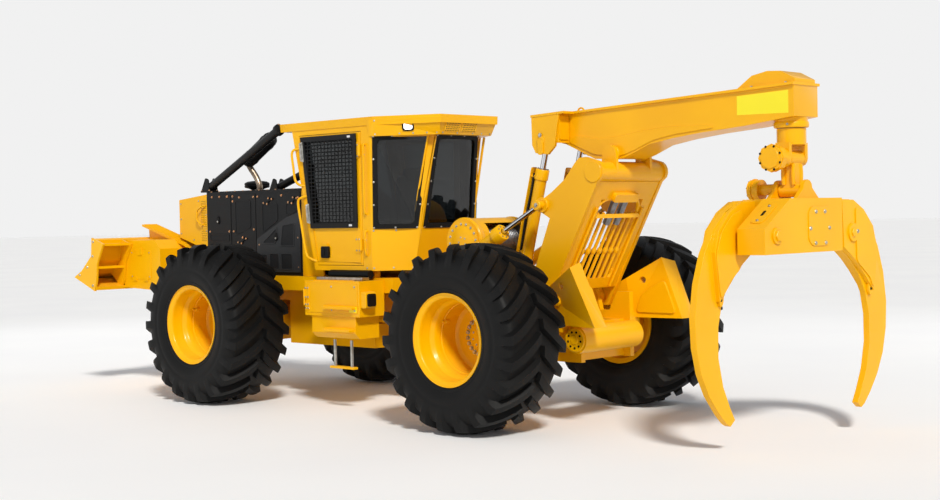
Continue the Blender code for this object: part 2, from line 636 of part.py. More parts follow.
def winch():
    _, y, z = WINCH
    case = rod((-0.38, y, z), (0.405, y, z), 0.245, 32)
    foot = box((-0.34, 0.38), (y - 0.20, y + 0.20), (1.5205, 1.66))
    join(case, foot)
    mouth = box((-0.34, 0.24), (y - 0.02, y + 0.35), (1.66, 1.99))
    cut(case, rod((-0.34, y, z), (0.24, y, z), 0.222, 28), mouth)
    finish(case, "winch_case", REAR, YELLOW)
    spool = [(-0.335, 0), (-0.335, 0.205), (-0.315, 0.205), (-0.31, 0.15), (0.21, 0.15), (0.215, 0.205),
             (0.235, 0.205), (0.235, 0)]
    finish(turned(spool[::-1], WINCH, steps=24), "winch_drum", WINCH_DRUM, STEEL)


# ---- arch ----
def arch():
    outline = [(0.00, 1.12), (0.25, 1.12), (0.516, 1.602), (0.94, 2.37), *circle(0.90, 2.47, 0.11, 5, -30, 60),
               (0.80, 2.61), (0.72, 2.605), (0.665, 2.556), (0.53, 2.40), (0.368, 2.285),
               *circle(0.25, 2.161, 0.075, 6, 70, 230), (0.337, 2.03), (0.128, 1.521)]
    left = slab(outline, "X", *ARCH_PLATE_X)
    right = slab(outline, "X", -ARCH_PLATE_X[1], -ARCH_PLATE_X[0])
    plate = slab([(0.305, 1.335), (0.345, 1.315), (0.93, 2.37), (0.89, 2.39)], "X", -0.49, 0.49)
    tube_across = rod((-0.49, 0.89, 2.465), (0.49, 0.89, 2.465), 0.10, 20)
    ears = []
    for _, s in SIDES:
        low, high = sorted((s * 0.25, s * 0.285))
        ear = [(0.80, 2.45), (0.99, 2.45), *circle(BOOM_PIVOT[1], BOOM_PIVOT[2], 0.085, 8, 0, 180)]
        ears.append(slab(ear, "X", low, high))
    join(left, plate, right, tube_across, *ears)
    window = box((-0.33, 0.33), (0.30, 1.0), (1.42, 2.20))
    cut(left, window)
    lean = Vector((0, 0.62, 1.12)).normalized()
    foot = Vector((0, 0.29, 1.26))
    bars = [box((-0.34, 0.34), (0.735, 0.775), (2.02, 2.06))]
    for k in range(7):
        x = -0.27 + 0.09 * k
        base = foot + lean * 0.16
        top = foot + lean * 0.93
        bars.append(rod((x, *base.yz), (x, *top.yz), 0.016, 8))
    for x in (-0.075, 0.075):
        bars.append(rod((x, *(foot + lean * 0.82).yz), (x, *(foot + lean * 1.06).yz), 0.035, 12))
    join(left, *bars)
    bore = rod((-0.6, ARCH_PIVOT[1], ARCH_PIVOT[2]), (0.6, ARCH_PIVOT[1], ARCH_PIVOT[2]), 0.04, 16)
    cut(left, bore)
    finish(left, "arch", ARCH, YELLOW)


# ---- boom ----
def boom():
    side = [(0.0, 3.05), (0.0, 2.83), (0.30, 2.76), (0.66, 2.60), (0.98, 2.588), (1.10, 2.625), (1.31, 2.71),
            (1.59, 2.755), (1.91, 2.79), (2.38, 2.825), (2.885, 2.885), (2.885, 3.17)]
    beam = slab(side, "X", -0.20, 0.20)
    top = slab([(-0.012, 3.062), (-0.012, 3.038), (2.895, 3.159), (2.895, 3.183)], "X", -0.225, 0.225)
    head = slab([(-0.008, 3.060), (-0.008, 3.036), (0.42, 3.054), (0.42, 3.078)], "X", -0.385, 0.385)
    ears = []
    for _, s in SIDES:
        low, high = sorted((s * 0.35, s * 0.38))
        ears.append(slab([(0.0, 3.05), (0.005, 2.76), (0.05, 2.68), (0.21, 2.66), (0.30, 2.74), (0.36, 3.065)],
                         "X", low, high))
        boss = sorted((s * 0.19, s * 0.2445))
        inner, outer = ((x, BOOM_PIVOT[1], BOOM_PIVOT[2]) for x in boss)
        ears.append(rod(inner, outer, 0.07, 16))
        low, high = sorted((s * 0.19, s * 0.36))
        ears.append(box((low, high), (0.31, 0.335), (2.77, 3.06)))
    collar = rod((0, GRAPPLE_Y, 2.79), (0, GRAPPLE_Y, 3.0), 0.145, 24)
    cover = slab([(2.25, 3.14), (2.88, 3.16), (2.88, 3.215), (2.74, 3.29), (2.60, 3.30), (2.44, 3.27)],
                 "X", -0.17, 0.17)
    join(beam, top, head, *ears, collar, cover)
    finish(beam, "boom", BOOM, YELLOW)


# ---- grapple ----
def rotator_yoke():
    y = GRAPPLE_Y
    disc = rod((0, y, 2.64), (0, y, 2.785), 0.13, 24)
    ears = [slab([(y - 0.07, 2.66), *circle(y, LINK_Z, 0.07, 8, 180, 360), (y + 0.07, 2.66)],
                 "X", *sorted((s * 0.115, s * 0.155))) for _, s in SIDES]
    damper = rod((0.14, y, LINK_Z), (0.28, y, LINK_Z), 0.085, 20)
    cap = rod((0.26, y, LINK_Z), (0.36, y, LINK_Z), 0.12, 8)
    join(disc, *ears, damper, cap)
    finish(disc, "rotator", ROTATOR, YELLOW)


def link_block():
    y = GRAPPLE_Y
    upper = rod((-0.11, y, LINK_Z), (0.11, y, LINK_Z), 0.07, 16)
    lower = rod((0, y - 0.11, HEAD_Z), (0, y + 0.11, HEAD_Z), 0.06, 16)
    neck = box((-0.055, 0.055), (y - 0.055, y + 0.055), (HEAD_Z, LINK_Z))
    join(upper, neck, lower)
    finish(upper, "swing_link", LINK, YELLOW)


def grapple_head():
    y = GRAPPLE_Y
    rear = slab([(0.86, 1.69), (0.86, 1.91), (0.45, 2.165), (-0.42, 2.165), (-0.42, 1.69)], "Y", y - 0.02, y + 0.253)
    front = slab([(-0.86, 1.692), (-0.86, 1.912), (-0.45, 2.162), (0.415, 2.162), (0.415, 1.692)],
                 "Y", y - 0.253, y + 0.015)
    ears = [slab([(-0.20, 2.15), (0.20, 2.15), *circle(0, HEAD_Z + 0.02, 0.075, 7, 0, 180)],
                 "Y", *sorted((y + s * 0.118, y + s * 0.158))) for _, s in SIDES]
    join(rear, front, *ears)
    damper = rod((0, y - 0.40, HEAD_Z + 0.013), (0, y - 0.13, HEAD_Z + 0.013), 0.05, 16)
    disc = rod((0, y - 0.42, HEAD_Z + 0.013), (0, y - 0.31, HEAD_Z + 0.013), 0.095, 20)
    join(rear, damper, disc)
    finish(rear, "grapple_head", HEAD, YELLOW)


TONG_OUTER = [(0.49, 2.155), (0.70, 2.15), (0.90, 2.06), (1.08, 1.91), (1.22, 1.71), (1.32, 1.46), (1.37, 1.18),
              (1.355, 0.93), (1.29, 0.70), (1.18, 0.51), (1.04, 0.35), (0.93, 0.25), (0.87, 0.22)]
TONG_INNER = [(0.80, 0.27), (0.87, 0.38), (0.97, 0.57), (1.035, 0.82), (1.03, 1.08), (0.97, 1.29), (0.85, 1.46),
              (0.70, 1.60), (0.52, 1.71)]
TONG_BOX = [(0.495, 2.15), (0.70, 2.145), (0.89, 2.055), (1.06, 1.90), (1.12, 1.72), (1.06, 1.30), (0.98, 1.37),
            (0.84, 1.50), (0.70, 1.61), (0.525, 1.715)]


def tong(name, s):
    """A curved tong that thins towards its tip, with a thicker box from its pin down. The left one
    works in a plane ahead of the grapple's middle and the right one behind it, so they cross when shut."""
    holder = body("tong_" + name, (s * TONG_PIN[0], GRAPPLE_Y, TONG_PIN[1]), HEAD)
    middle = GRAPPLE_Y - s * 0.14
    outline = [(s * x, z) for x, z in TONG_OUTER + TONG_INNER]
    thick = [(s * x, z) for x, z in TONG_BOX]
    curve = slab(outline, "Y", middle - 0.03, middle + 0.03)
    join(curve, slab(thick, "Y", middle - 0.072, middle + 0.072))
    finish(curve, "tong_" + name, holder, YELLOW)


# ---- assemble ----
front_frame()
axle("front_axle", FRONT_AXLE_Y, FRONT)
axle("rear_axle", 0.0, REAR)
for side_name, side_sign in SIDES:
    wheel("front_" + side_name, side_sign, FRONT_AXLE_Y)
    wheel("rear_" + side_name, side_sign, 0.0)
    step_box(side_name, side_sign)
    door(side_name, side_sign)
    tong(side_name, side_sign)
    steering_cylinder(side_name, side_sign)
    cylinder("blade_cyl_" + side_name, FRONT, BLADE_CYL_BASE, BLADE_CYL_EYE, side_sign * BLADE_CYL_X,
             0.56, 0.05, 0.026, 0.05)
    cylinder("arch_cyl_" + side_name, REAR, ARCH_CYL_BASE, ARCH_CYL_EYE, side_sign * ARCH_CYL_X,
             0.86, 0.07, 0.025, 0.20)
    cylinder("lift_cyl_" + side_name, REAR, LIFT_CYL_BASE, LIFT_CYL_EYE, side_sign * LIFT_CYL_X,
             1.42, 0.062, 0.03, 0.45)
hood()
risers()
cab()
blade()
rear_frame()
winch()
arch()
boom()
rotator_yoke()
link_block()
grapple_head()
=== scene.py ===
"""Looks of a full-size grapple skidder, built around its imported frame.

Sizes are metres in the machine's own frame: the origin is on the ground under the rear axle, the front
is towards -Y, the left side towards +X and up is +Z. build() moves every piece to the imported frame.
"""
import json
import math

import bmesh
import bpy
import numpy as np
from mathutils import Matrix, Vector


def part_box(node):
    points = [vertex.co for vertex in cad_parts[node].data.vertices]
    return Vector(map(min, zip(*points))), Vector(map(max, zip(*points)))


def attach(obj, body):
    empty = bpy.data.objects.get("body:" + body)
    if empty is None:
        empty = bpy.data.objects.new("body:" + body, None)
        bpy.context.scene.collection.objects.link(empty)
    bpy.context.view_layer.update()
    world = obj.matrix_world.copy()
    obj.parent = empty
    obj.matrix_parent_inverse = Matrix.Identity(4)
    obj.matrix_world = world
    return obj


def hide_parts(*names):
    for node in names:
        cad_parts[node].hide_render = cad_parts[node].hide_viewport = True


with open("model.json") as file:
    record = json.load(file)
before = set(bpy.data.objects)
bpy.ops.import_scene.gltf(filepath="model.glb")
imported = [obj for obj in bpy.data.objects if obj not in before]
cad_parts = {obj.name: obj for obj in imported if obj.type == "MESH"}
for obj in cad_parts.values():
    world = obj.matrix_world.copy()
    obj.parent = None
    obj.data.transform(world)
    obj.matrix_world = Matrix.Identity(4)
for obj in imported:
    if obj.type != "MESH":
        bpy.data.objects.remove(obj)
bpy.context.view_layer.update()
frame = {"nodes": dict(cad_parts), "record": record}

tyre_low, tyre_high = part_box("tyre_rear_left")
AXLE_SHIFT = (tyre_low[1] + tyre_high[1]) / 2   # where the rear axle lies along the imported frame's Y
SIDES = (("left", 1), ("right", -1))
X, Y, Z = np.eye(3)


# ---- materials ----
def linear(code):
    """A colour written as sRGB hex, as linear red, green, blue and alpha."""
    parts = [int(code[k:k + 2], 16) / 255 for k in (1, 3, 5)]
    return (*[c / 12.92 if c <= 0.04045 else ((c + 0.055) / 1.055) ** 2.4 for c in parts], 1.0)


def add(tree, kind, settings=None, links=None):
    """Add one node: settings go on its properties or its own sockets, links join other nodes' outputs
    to its inputs."""
    node = tree.nodes.new(kind)
    for key, value in (settings or {}).items():
        if isinstance(key, str) and hasattr(node, key):
            setattr(node, key, value)
        else:
            node.inputs[key].default_value = value
    for key, source in (links or {}).items():
        tree.links.new(source, node.inputs[key])
    return node


def finish_of(name, first, second, blotch, grain, depth, rough, **sockets):
    """A painted or moulded finish. Two close colours drift over blotch metres, the roughness drifts
    between the two values of rough, and a grain of the given size in metres lifts the surface by
    depth metres."""
    made = bpy.data.materials.new(name)
    made.use_nodes = True
    tree = made.node_tree
    shader = tree.nodes["Principled BSDF"]
    place = add(tree, "ShaderNodeTexCoord").outputs["Object"]
    drift = add(tree, "ShaderNodeTexNoise", {"Scale": 1 / blotch, "Detail": 3.0}, {"Vector": place})
    spread = add(tree, "ShaderNodeMapRange", {"From Min": 0.32, "From Max": 0.68},
                 {"Value": drift.outputs["Fac"]})
    tint = add(tree, "ShaderNodeMix", {"data_type": "RGBA", 6: linear(first), 7: linear(second)},
               {0: spread.outputs["Result"]})
    tree.links.new(tint.outputs[2], shader.inputs["Base Color"])
    gloss = add(tree, "ShaderNodeMapRange", {"To Min": rough[0], "To Max": rough[1]},
                {"Value": drift.outputs["Fac"]})
    tree.links.new(gloss.outputs["Result"], shader.inputs["Roughness"])
    fine = add(tree, "ShaderNodeTexNoise", {"Scale": 1 / grain, "Detail": 2.0}, {"Vector": place})
    bump = add(tree, "ShaderNodeBump", {"Strength": 1.0, "Distance": depth},
               {"Height": fine.outputs["Fac"]})
    tree.links.new(bump.outputs["Normal"], shader.inputs["Normal"])
    for key, value in sockets.items():
        shader.inputs[key.replace("_", " ")].default_value = value
    return made


def enamel():
    """Industrial enamel over welded steel: a warm yellow with a clear gloss and faint orange peel. Faces
    that look up are paled towards a light tan: a little dust and a painted highlight of a lit top."""
    made = finish_of("yellow_enamel", "#EDAC00", "#F3B503", 0.9, 0.007, 0.00005, (0.26, 0.40),
                     Coat_Weight=0.10, Coat_Roughness=0.12, Specular_IOR_Level=0.20)
    tree = made.node_tree
    shader = tree.nodes["Principled BSDF"]
    paint = shader.inputs["Base Color"].links[0].from_socket
    facing = add(tree, "ShaderNodeSeparateXYZ", {},
                 {0: add(tree, "ShaderNodeNewGeometry").outputs["Normal"]})
    # painted highlight with a little dust: the paint pales where the normal points up, as a lit top does
    up = add(tree, "ShaderNodeMapRange", {"From Min": 0.35, "From Max": 1.0, "To Max": 0.12},
             {"Value": facing.outputs["Z"]})
    dust_and_top_highlight = add(tree, "ShaderNodeMix", {"data_type": "RGBA", 7: linear("#E6B860")},
                {0: up.outputs["Result"], 6: paint})
    tree.links.new(dust_and_top_highlight.outputs[2], shader.inputs["Base Color"])
    return made


def perforated():
    """Punched black steel sheet: rows of holes 9 mm apart, painted near black as shade, paint between."""
    made = finish_of("perforated_sheet", "#1E2022", "#26282A", 0.5, 0.002, 0.0001, (0.5, 0.6),
                     Specular_IOR_Level=0.2)
    tree = made.node_tree
    shader = tree.nodes["Principled BSDF"]
    place = add(tree, "ShaderNodeTexCoord").outputs["Object"]
    cells = add(tree, "ShaderNodeTexVoronoi", {"Scale": 1 / 0.014, "Randomness": 0.0}, {"Vector": place})
    # painted shade: the hole spots get near black for the dark seen through an opening
    hole = add(tree, "ShaderNodeMapRange", {"From Min": 0.30, "From Max": 0.42},
               {"Value": cells.outputs["Distance"]})
    tint = add(tree, "ShaderNodeMix", {"data_type": "RGBA", 6: linear("#040404"), 7: linear("#1C1D1F")},
               {0: hole.outputs["Result"]})
    tree.links.new(tint.outputs[2], shader.inputs["Base Color"])
    return made


ENAMEL = enamel()
# satin powder coat: near black with a fine sand texture that breaks the highlights
POWDER = finish_of("black_powder_coat", "#0B0B0C", "#101112", 0.6, 0.0025, 0.00018, (0.42, 0.56),
                   Specular_IOR_Level=0.25)
# the engine's lower guard is a lighter, warmer powder coat
GREY_COAT = finish_of("grey_powder_coat", "#2B2C2E", "#323436", 0.5, 0.0025, 0.00018, (0.42, 0.55),
                      Specular_IOR_Level=0.25)
# tyre rubber: matt, slightly brown black, with a skin from the mould
TYRE = finish_of("tyre_rubber", "#0A0A0A", "#0E0E0E", 0.35, 0.004, 0.0003, (0.50, 0.66),
                 Specular_IOR_Level=0.2)
# black rubber, also used as painted shade: thin black discs and plates where holes and slots look dark
SEAL_AND_HOLE_SHADE = finish_of("seal_rubber_and_hole_shade", "#060606", "#0B0B0C", 0.3, 0.003, 0.0001, (0.45, 0.6),
                 Specular_IOR_Level=0.2)
HOSE = finish_of("hose_rubber", "#090909", "#0F0F10", 0.1, 0.0025, 0.0003, (0.40, 0.55),
                 Specular_IOR_Level=0.3)
# hard chrome on a ground rod
CHROME = finish_of("hard_chrome", "#D4D7DB", "#C6C9CE", 0.2, 0.0015, 0.000008, (0.07, 0.14), Metallic=1.0)
ZINC = finish_of("zinc_plate", "#C9C8C2", "#A9A69C", 0.05, 0.004, 0.00006, (0.26, 0.42), Metallic=1.0)
# yellow passivated bolts catch a coppery light
PASSIVATED = finish_of("passivated_bolts", "#DDAE84", "#C99C78", 0.02, 0.002, 0.00003, (0.3, 0.45),
                       Metallic=1.0)
STEEL = finish_of("worn_steel", "#8F9194", "#6E7073", 0.06, 0.003, 0.0001, (0.28, 0.48), Metallic=1.0)
EXHAUST = finish_of("heated_steel", "#B5A48F", "#8C7C6C", 0.08, 0.003, 0.0001, (0.3, 0.5), Metallic=1.0)
VINYL = finish_of("seat_vinyl", "#1C1D1F", "#26272A", 0.2, 0.004, 0.0006, (0.48, 0.62))
CAST = finish_of("cast_iron", "#4A4B4D", "#3A3A3C", 0.15, 0.006, 0.0005, (0.5, 0.7), Metallic=0.6)
DECAL = finish_of("blank_yellow_decal", "#F3E400", "#EFE000", 0.5, 0.004, 0.00002, (0.3, 0.36))
TAG = finish_of("blank_white_tag", "#D9DADB", "#CFD0D1", 0.05, 0.003, 0.00002, (0.35, 0.45))
SCREEN = perforated()
# smoked safety glass: it lets through about a tenth of the light
GLASS = finish_of("smoked_glass", "#575D5F", "#545A5C", 1.5, 0.05, 0.00001, (0.02, 0.035),
                  Transmission_Weight=1.0, IOR=1.5)
LENS = finish_of("lamp_lens", "#F4F6FA", "#E9EDF2", 0.05, 0.006, 0.0004, (0.1, 0.2),
                 Emission_Color=linear("#FFFFFF"), Emission_Strength=1.6)


# ---- shapes: each returns (points, faces) in the machine's frame ----
def quads(rows, columns, round_rows=False, round_columns=False):
    """Indices of the four-sided faces of a grid of points, joined round either way if asked."""
    r = np.arange(rows if round_rows else rows - 1)
    c = np.arange(columns if round_columns else columns - 1)
    r, c = (a.ravel() for a in np.meshgrid(r, c, indexing="ij"))
    r2, c2 = (r + 1) % rows, (c + 1) % columns
    return np.stack([r * columns + c, r2 * columns + c, r2 * columns + c2, r * columns + c2], 1).tolist()


def frame_along(axis):
    """Two unit vectors square to an axis and to each other."""
    axis = np.asarray(axis, float) / np.linalg.norm(axis)
    side = np.cross(axis, Z if abs(axis[2]) < 0.9 else X)
    side /= np.linalg.norm(side)
    return axis, side, np.cross(axis, side)


def revolve(profile, centre, axis=X, steps=32):
    """A profile of (distance along the axis, radius) pairs carried once round the axis."""
    axis, side, other = frame_along(axis)
    along, radius = np.array(profile, float).T
    turn = np.linspace(0, 2 * np.pi, steps, endpoint=False)[:, None, None]
    ring = np.cos(turn) * side + np.sin(turn) * other
    points = np.asarray(centre) + along[None, :, None] * axis + radius[None, :, None] * ring
    return points.reshape(-1, 3), quads(steps, len(profile), round_rows=True)


def disc(centre, axis, radius, thick, edge=0.003, steps=32):
    """A round plate with a small chamfer on its outer edge."""
    return revolve([(0, 0), (0, radius), (thick - edge, radius), (thick, radius - edge), (thick, 0)],
                   centre, axis, steps)


def curve_through(points, steps=6):
    """A smooth path through the given points: each span is the cubic whose end slopes are half the
    chords between its neighbours."""
    p = np.asarray(points, float)
    p = np.vstack([2 * p[0] - p[1], p, 2 * p[-1] - p[-2]])
    t = np.linspace(0, 1, steps, endpoint=False)[:, None]
    spans = []
    for a, b, c, d in zip(p[:-3], p[1:-2], p[2:-1], p[3:]):
        spans.append(0.5 * (2 * b + (c - a) * t + (2 * a - 5 * b + 4 * c - d) * t ** 2
                            + (3 * b - a - 3 * c + d) * t ** 3))
    return np.vstack([*spans, p[-2][None]])


def sweep(path, radius, sides=10, smooth=True):
    """A round bar or hose: a circle carried along the path, kept square to it, and closed at both ends."""
    p = curve_through(path) if smooth else np.asarray(path, float)
    run = np.gradient(p, axis=0)
    run /= np.linalg.norm(run, axis=1)[:, None]
    _, side, _ = frame_along(run[0])
    rings = []
    turn = np.linspace(0, 2 * np.pi, sides, endpoint=False)[:, None]
    for here, ahead in zip(p, run):
        side = side - ahead * side.dot(ahead)
        side /= np.linalg.norm(side)
        rings.append(here + radius * (np.cos(turn) * side + np.sin(turn) * np.cross(ahead, side)))
    points = np.vstack([*rings, p[:1], p[-1:]])
    faces = quads(len(p), sides, round_columns=True)
    last = (len(p) - 1) * sides
    for k in range(sides):
        faces.append([k, (k + 1) % sides, len(points) - 2])
        faces.append([last + k, last + (k + 1) % sides, len(points) - 1])
    return points, faces


def on_side(s, x):
    """A plane whose outlines list (y, z), facing out from the machine's side."""
    return np.array([s * x, 0, 0]), Y, Z, s * X


def on_back(y, sign=1):
    """A plane whose outlines list (x, z), facing backwards, or forwards if sign is -1."""
    return np.array([0, y, 0]), X, Z, sign * Y


def on_top(z, sign=1):
    """A plane whose outlines list (x, y), facing up, or down if sign is -1."""
    return np.array([0, 0, z]), X, Y, sign * Z


def laid(plane, outline, depth):
    """Outline points placed on a plane, lifted off it by depth."""
    start, u, v, out = plane
    flat = np.asarray(outline, float)
    return start + flat[:, :1] * u + flat[:, 1:] * v + depth * out


def plate(plane, outline, low, high):
    """A flat outline with thickness, from low to high above its plane."""
    n = len(outline)
    points = np.vstack([laid(plane, outline, low), laid(plane, outline, high)])
    walls = [[k, (k + 1) % n, n + (k + 1) % n, n + k] for k in range(n)]
    return points, [list(range(n))[::-1], list(range(n, 2 * n)), *walls]


def ring_plate(plane, outer, inner, low, high):
    """A flat frame between two outlines with the same number of corners."""
    n = len(outer)
    loops = [laid(plane, outer, low), laid(plane, outer, high), laid(plane, inner, high),
             laid(plane, inner, low)]
    return np.vstack(loops), quads(4, n, round_rows=True, round_columns=True)


def rect(a, b, c, d):
    return [(a, c), (b, c), (b, d), (a, d)]


def inset(outline, by):
    """An outline moved inwards by a distance, each corner along its bisector."""
    moved = []
    area = sum(p[0] * q[1] - q[0] * p[1] for p, q in zip(outline, outline[1:] + outline[:1]))
    for k, point in enumerate(outline):
        here, back, on = Vector(point), Vector(outline[k - 1]), Vector(outline[(k + 1) % len(outline)])
        first, second = (here - back).normalized(), (on - here).normalized()
        normals = [Vector((-d.y, d.x)) * math.copysign(1, area) for d in (first, second)]
        half = (normals[0] + normals[1]).normalized()
        moved.append(tuple(here + half * by / max(0.2, half.dot(normals[0]))))
    return moved


def rounded(outline, radius, steps=4):
    """An outline with each corner replaced by a quadratic arc that starts and ends radius from it."""
    smooth = []
    for k, corner in enumerate(outline):
        here, back, on = (np.array(outline[j % len(outline)], float) for j in (k, k - 1, k + 1))
        reach = [min(radius, np.linalg.norm(e - here) * 0.45) for e in (back, on)]
        a = here + (back - here) / np.linalg.norm(back - here) * reach[0]
        b = here + (on - here) / np.linalg.norm(on - here) * reach[1]
        for t in np.linspace(0, 1, steps + 1):
            smooth.append(tuple((1 - t) ** 2 * a + 2 * t * (1 - t) * here + t ** 2 * b))
    return smooth


def bolts(places, axis, across=0.024, tall=0.010):
    """Hexagon heads on round washers, all looking along one axis."""
    axis, side, other = frame_along(axis)
    washer, head = across * 0.68, across * 0.55
    levels = [(0, washer, 12), (tall * 0.22, washer, 12), (tall * 0.22, head, 6), (tall * 0.85, head, 6),
              (tall, head * 0.82, 6)]
    points, faces = [], []
    for place in places:
        for low, high in ((0, 2), (2, 5)):
            start = len(points)
            count = levels[low][2]
            for up, r, _ in levels[low:high]:
                turn = np.linspace(0, 2 * np.pi, count, endpoint=False)[:, None]
                spoke = np.cos(turn) * side + np.sin(turn) * other
                points.extend(np.asarray(place) + up * axis + r * spoke)
            faces += [[start + i for i in f] for f in quads(high - low, count, round_columns=True)]
            faces.append([start + k for k in range(count)][::-1])
            faces.append([start + (high - low - 1) * count + k for k in range(count)])
    return np.array(points), faces


def around(centre, axis, radius, count, start=0.0):
    """Evenly spaced places on a circle."""
    axis, side, other = frame_along(axis)
    turns = start + np.linspace(0, 2 * np.pi, count, endpoint=False)
    return [np.asarray(centre) + radius * (math.cos(t) * side + math.sin(t) * other) for t in turns]


def build(name, look, body, *parts, bevel=0.0, smooth=35, instead=()):
    """Join shapes into one piece: merge their doubles, turn faces outwards, bevel edges if asked, give
    it its finish and let it ride on its body. instead lists frame nodes that it stands for."""
    shaped = bmesh.new()
    for points, faces in parts:
        made = [shaped.verts.new((p[0], p[1] + AXLE_SHIFT, p[2])) for p in np.asarray(points).tolist()]
        for face in faces:
            if len({made[i] for i in face}) == len(face):
                shaped.faces.new([made[i] for i in face])
    bmesh.ops.remove_doubles(shaped, verts=shaped.verts, dist=1e-6)
    bmesh.ops.dissolve_degenerate(shaped, edges=shaped.edges, dist=1e-6)
    bmesh.ops.recalc_face_normals(shaped, faces=shaped.faces)
    mesh = bpy.data.meshes.new(name)
    shaped.to_mesh(mesh)
    shaped.free()
    return dress(name, mesh, look, body, bevel, smooth, instead)


def dress(name, mesh, look, body, bevel, smooth, instead):
    """Put a mesh into the scene with its finish, its bevel and its body."""
    piece = bpy.data.objects.new(name, mesh)
    bpy.context.scene.collection.objects.link(piece)
    mesh.materials.clear()
    mesh.materials.append(look)
    mesh.polygons.foreach_set("use_smooth", [True] * len(mesh.polygons))
    mesh.set_sharp_from_angle(angle=math.radians(smooth))
    if bevel:
        edge = piece.modifiers.new("edge", "BEVEL")
        edge.width = bevel
        edge.segments = 2
        edge.limit_method = "ANGLE"
        edge.angle_limit = math.radians(38)
        edge.harden_normals = True
    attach(piece, body)
    if instead:
        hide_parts(*instead)
    return piece


BODY_OF = {node: body for body, nodes in frame["record"]["behaviour"]["bodies"].items() for node in nodes}


def softened(node, look, bevel=0.004):
    """A frame node with its loose triangles merged into flat plates and its edges eased."""
    source = frame["nodes"][node]
    shaped = bmesh.new()
    shaped.from_mesh(source.data)
    bmesh.ops.remove_doubles(shaped, verts=shaped.verts, dist=2e-5)
    bmesh.ops.dissolve_limit(shaped, angle_limit=0.01, verts=shaped.verts, edges=shaped.edges)
    mesh = bpy.data.meshes.new(node + "_finished")
    shaped.to_mesh(mesh)
    shaped.free()
    return dress(node + "_finished", mesh, look, BODY_OF[node], bevel, 32, (node,))


def coat(node, look):
    """Give a frame node its finish."""
    mesh = frame["nodes"][node].data
    mesh.materials.clear()
    mesh.materials.append(look)


# ---- wheels ----
WHEEL_Z = 0.905
LUGS = 22
# across the tread and down the wall: (x, radius) of the casing, and of a lug's top at the same place
TREAD = (
    ((0.000, 0.848), (0.000, 0.848)), ((0.016, 0.848), (0.016, 0.850)), ((0.030, 0.848), (0.022, 0.902)),
    ((0.080, 0.847), (0.080, 0.905)), ((0.140, 0.845), (0.140, 0.904)), ((0.200, 0.840), (0.200, 0.900)),
    ((0.260, 0.832), (0.260, 0.893)), ((0.310, 0.820), (0.318, 0.882)), ((0.335, 0.808), (0.366, 0.866)),
    ((0.350, 0.790), (0.378, 0.835)), ((0.364, 0.765), (0.386, 0.790)), ((0.376, 0.735), (0.387, 0.742)),
    ((0.384, 0.700), (0.385, 0.700)),
)
WALL = ((0.387, 0.66), (0.386, 0.635), (0.3845, 0.630), (0.384, 0.600), (0.3855, 0.595), (0.378, 0.55),
        (0.366, 0.51), (0.358, 0.488), (0.3605, 0.482), (0.357, 0.464), (0.350, 0.450), (0.343, 0.4445),
        (0.325, 0.43), (0.29, 0.50), (0.26, 0.72), (0.0, 0.79))


def tyre(centre):
    """A forestry tyre. Radius and width come from the tread table, and each lug is a raised stretch of
    turn that sweeps back by 0.31 of a radian times the 0.85th power of its distance from the middle."""
    pitch = 2 * math.pi / LUGS
    rise = np.array([0.0, 0.07, 0.43, 0.50])
    height = np.array([0.0, 1.0, 1.0, 0.0])
    marks = np.unique(np.round(np.concatenate([rise, (rise + 0.5) % 1, [0.18, 0.31, 0.68, 0.81]]), 4))
    turn = (np.arange(LUGS)[:, None] + marks[None]).ravel() * pitch
    casing, lug = np.array(TREAD).transpose(1, 0, 2)
    wall = np.array(WALL)
    halves = []
    for side, offset in ((1, 0.0), (-1, 0.5)):
        raised = np.interp((turn / pitch + offset) % 1, rise, height, period=None)
        raised[(turn / pitch + offset) % 1 > rise[-1]] = 0.0
        lift = raised[:, None, None]
        outer = casing[None] * (1 - lift) + lug[None] * lift
        profile = np.concatenate([outer, np.broadcast_to(wall, (len(turn), *wall.shape))], 1)
        halves.append(profile * [side, 1])
    profile = np.concatenate([halves[0], halves[1][:, ::-1]], 1)
    across, radius = profile[..., 0], profile[..., 1]
    sweep_back = 0.31 * np.minimum(np.abs(across) / 0.36, 1.06) ** 0.85
    angle = turn[:, None] - sweep_back
    points = np.stack([across, radius * np.cos(angle), radius * np.sin(angle)], -1)
    return (np.asarray(centre) + points.reshape(-1, 3),
            quads(len(turn), profile.shape[1], round_rows=True, round_columns=True))


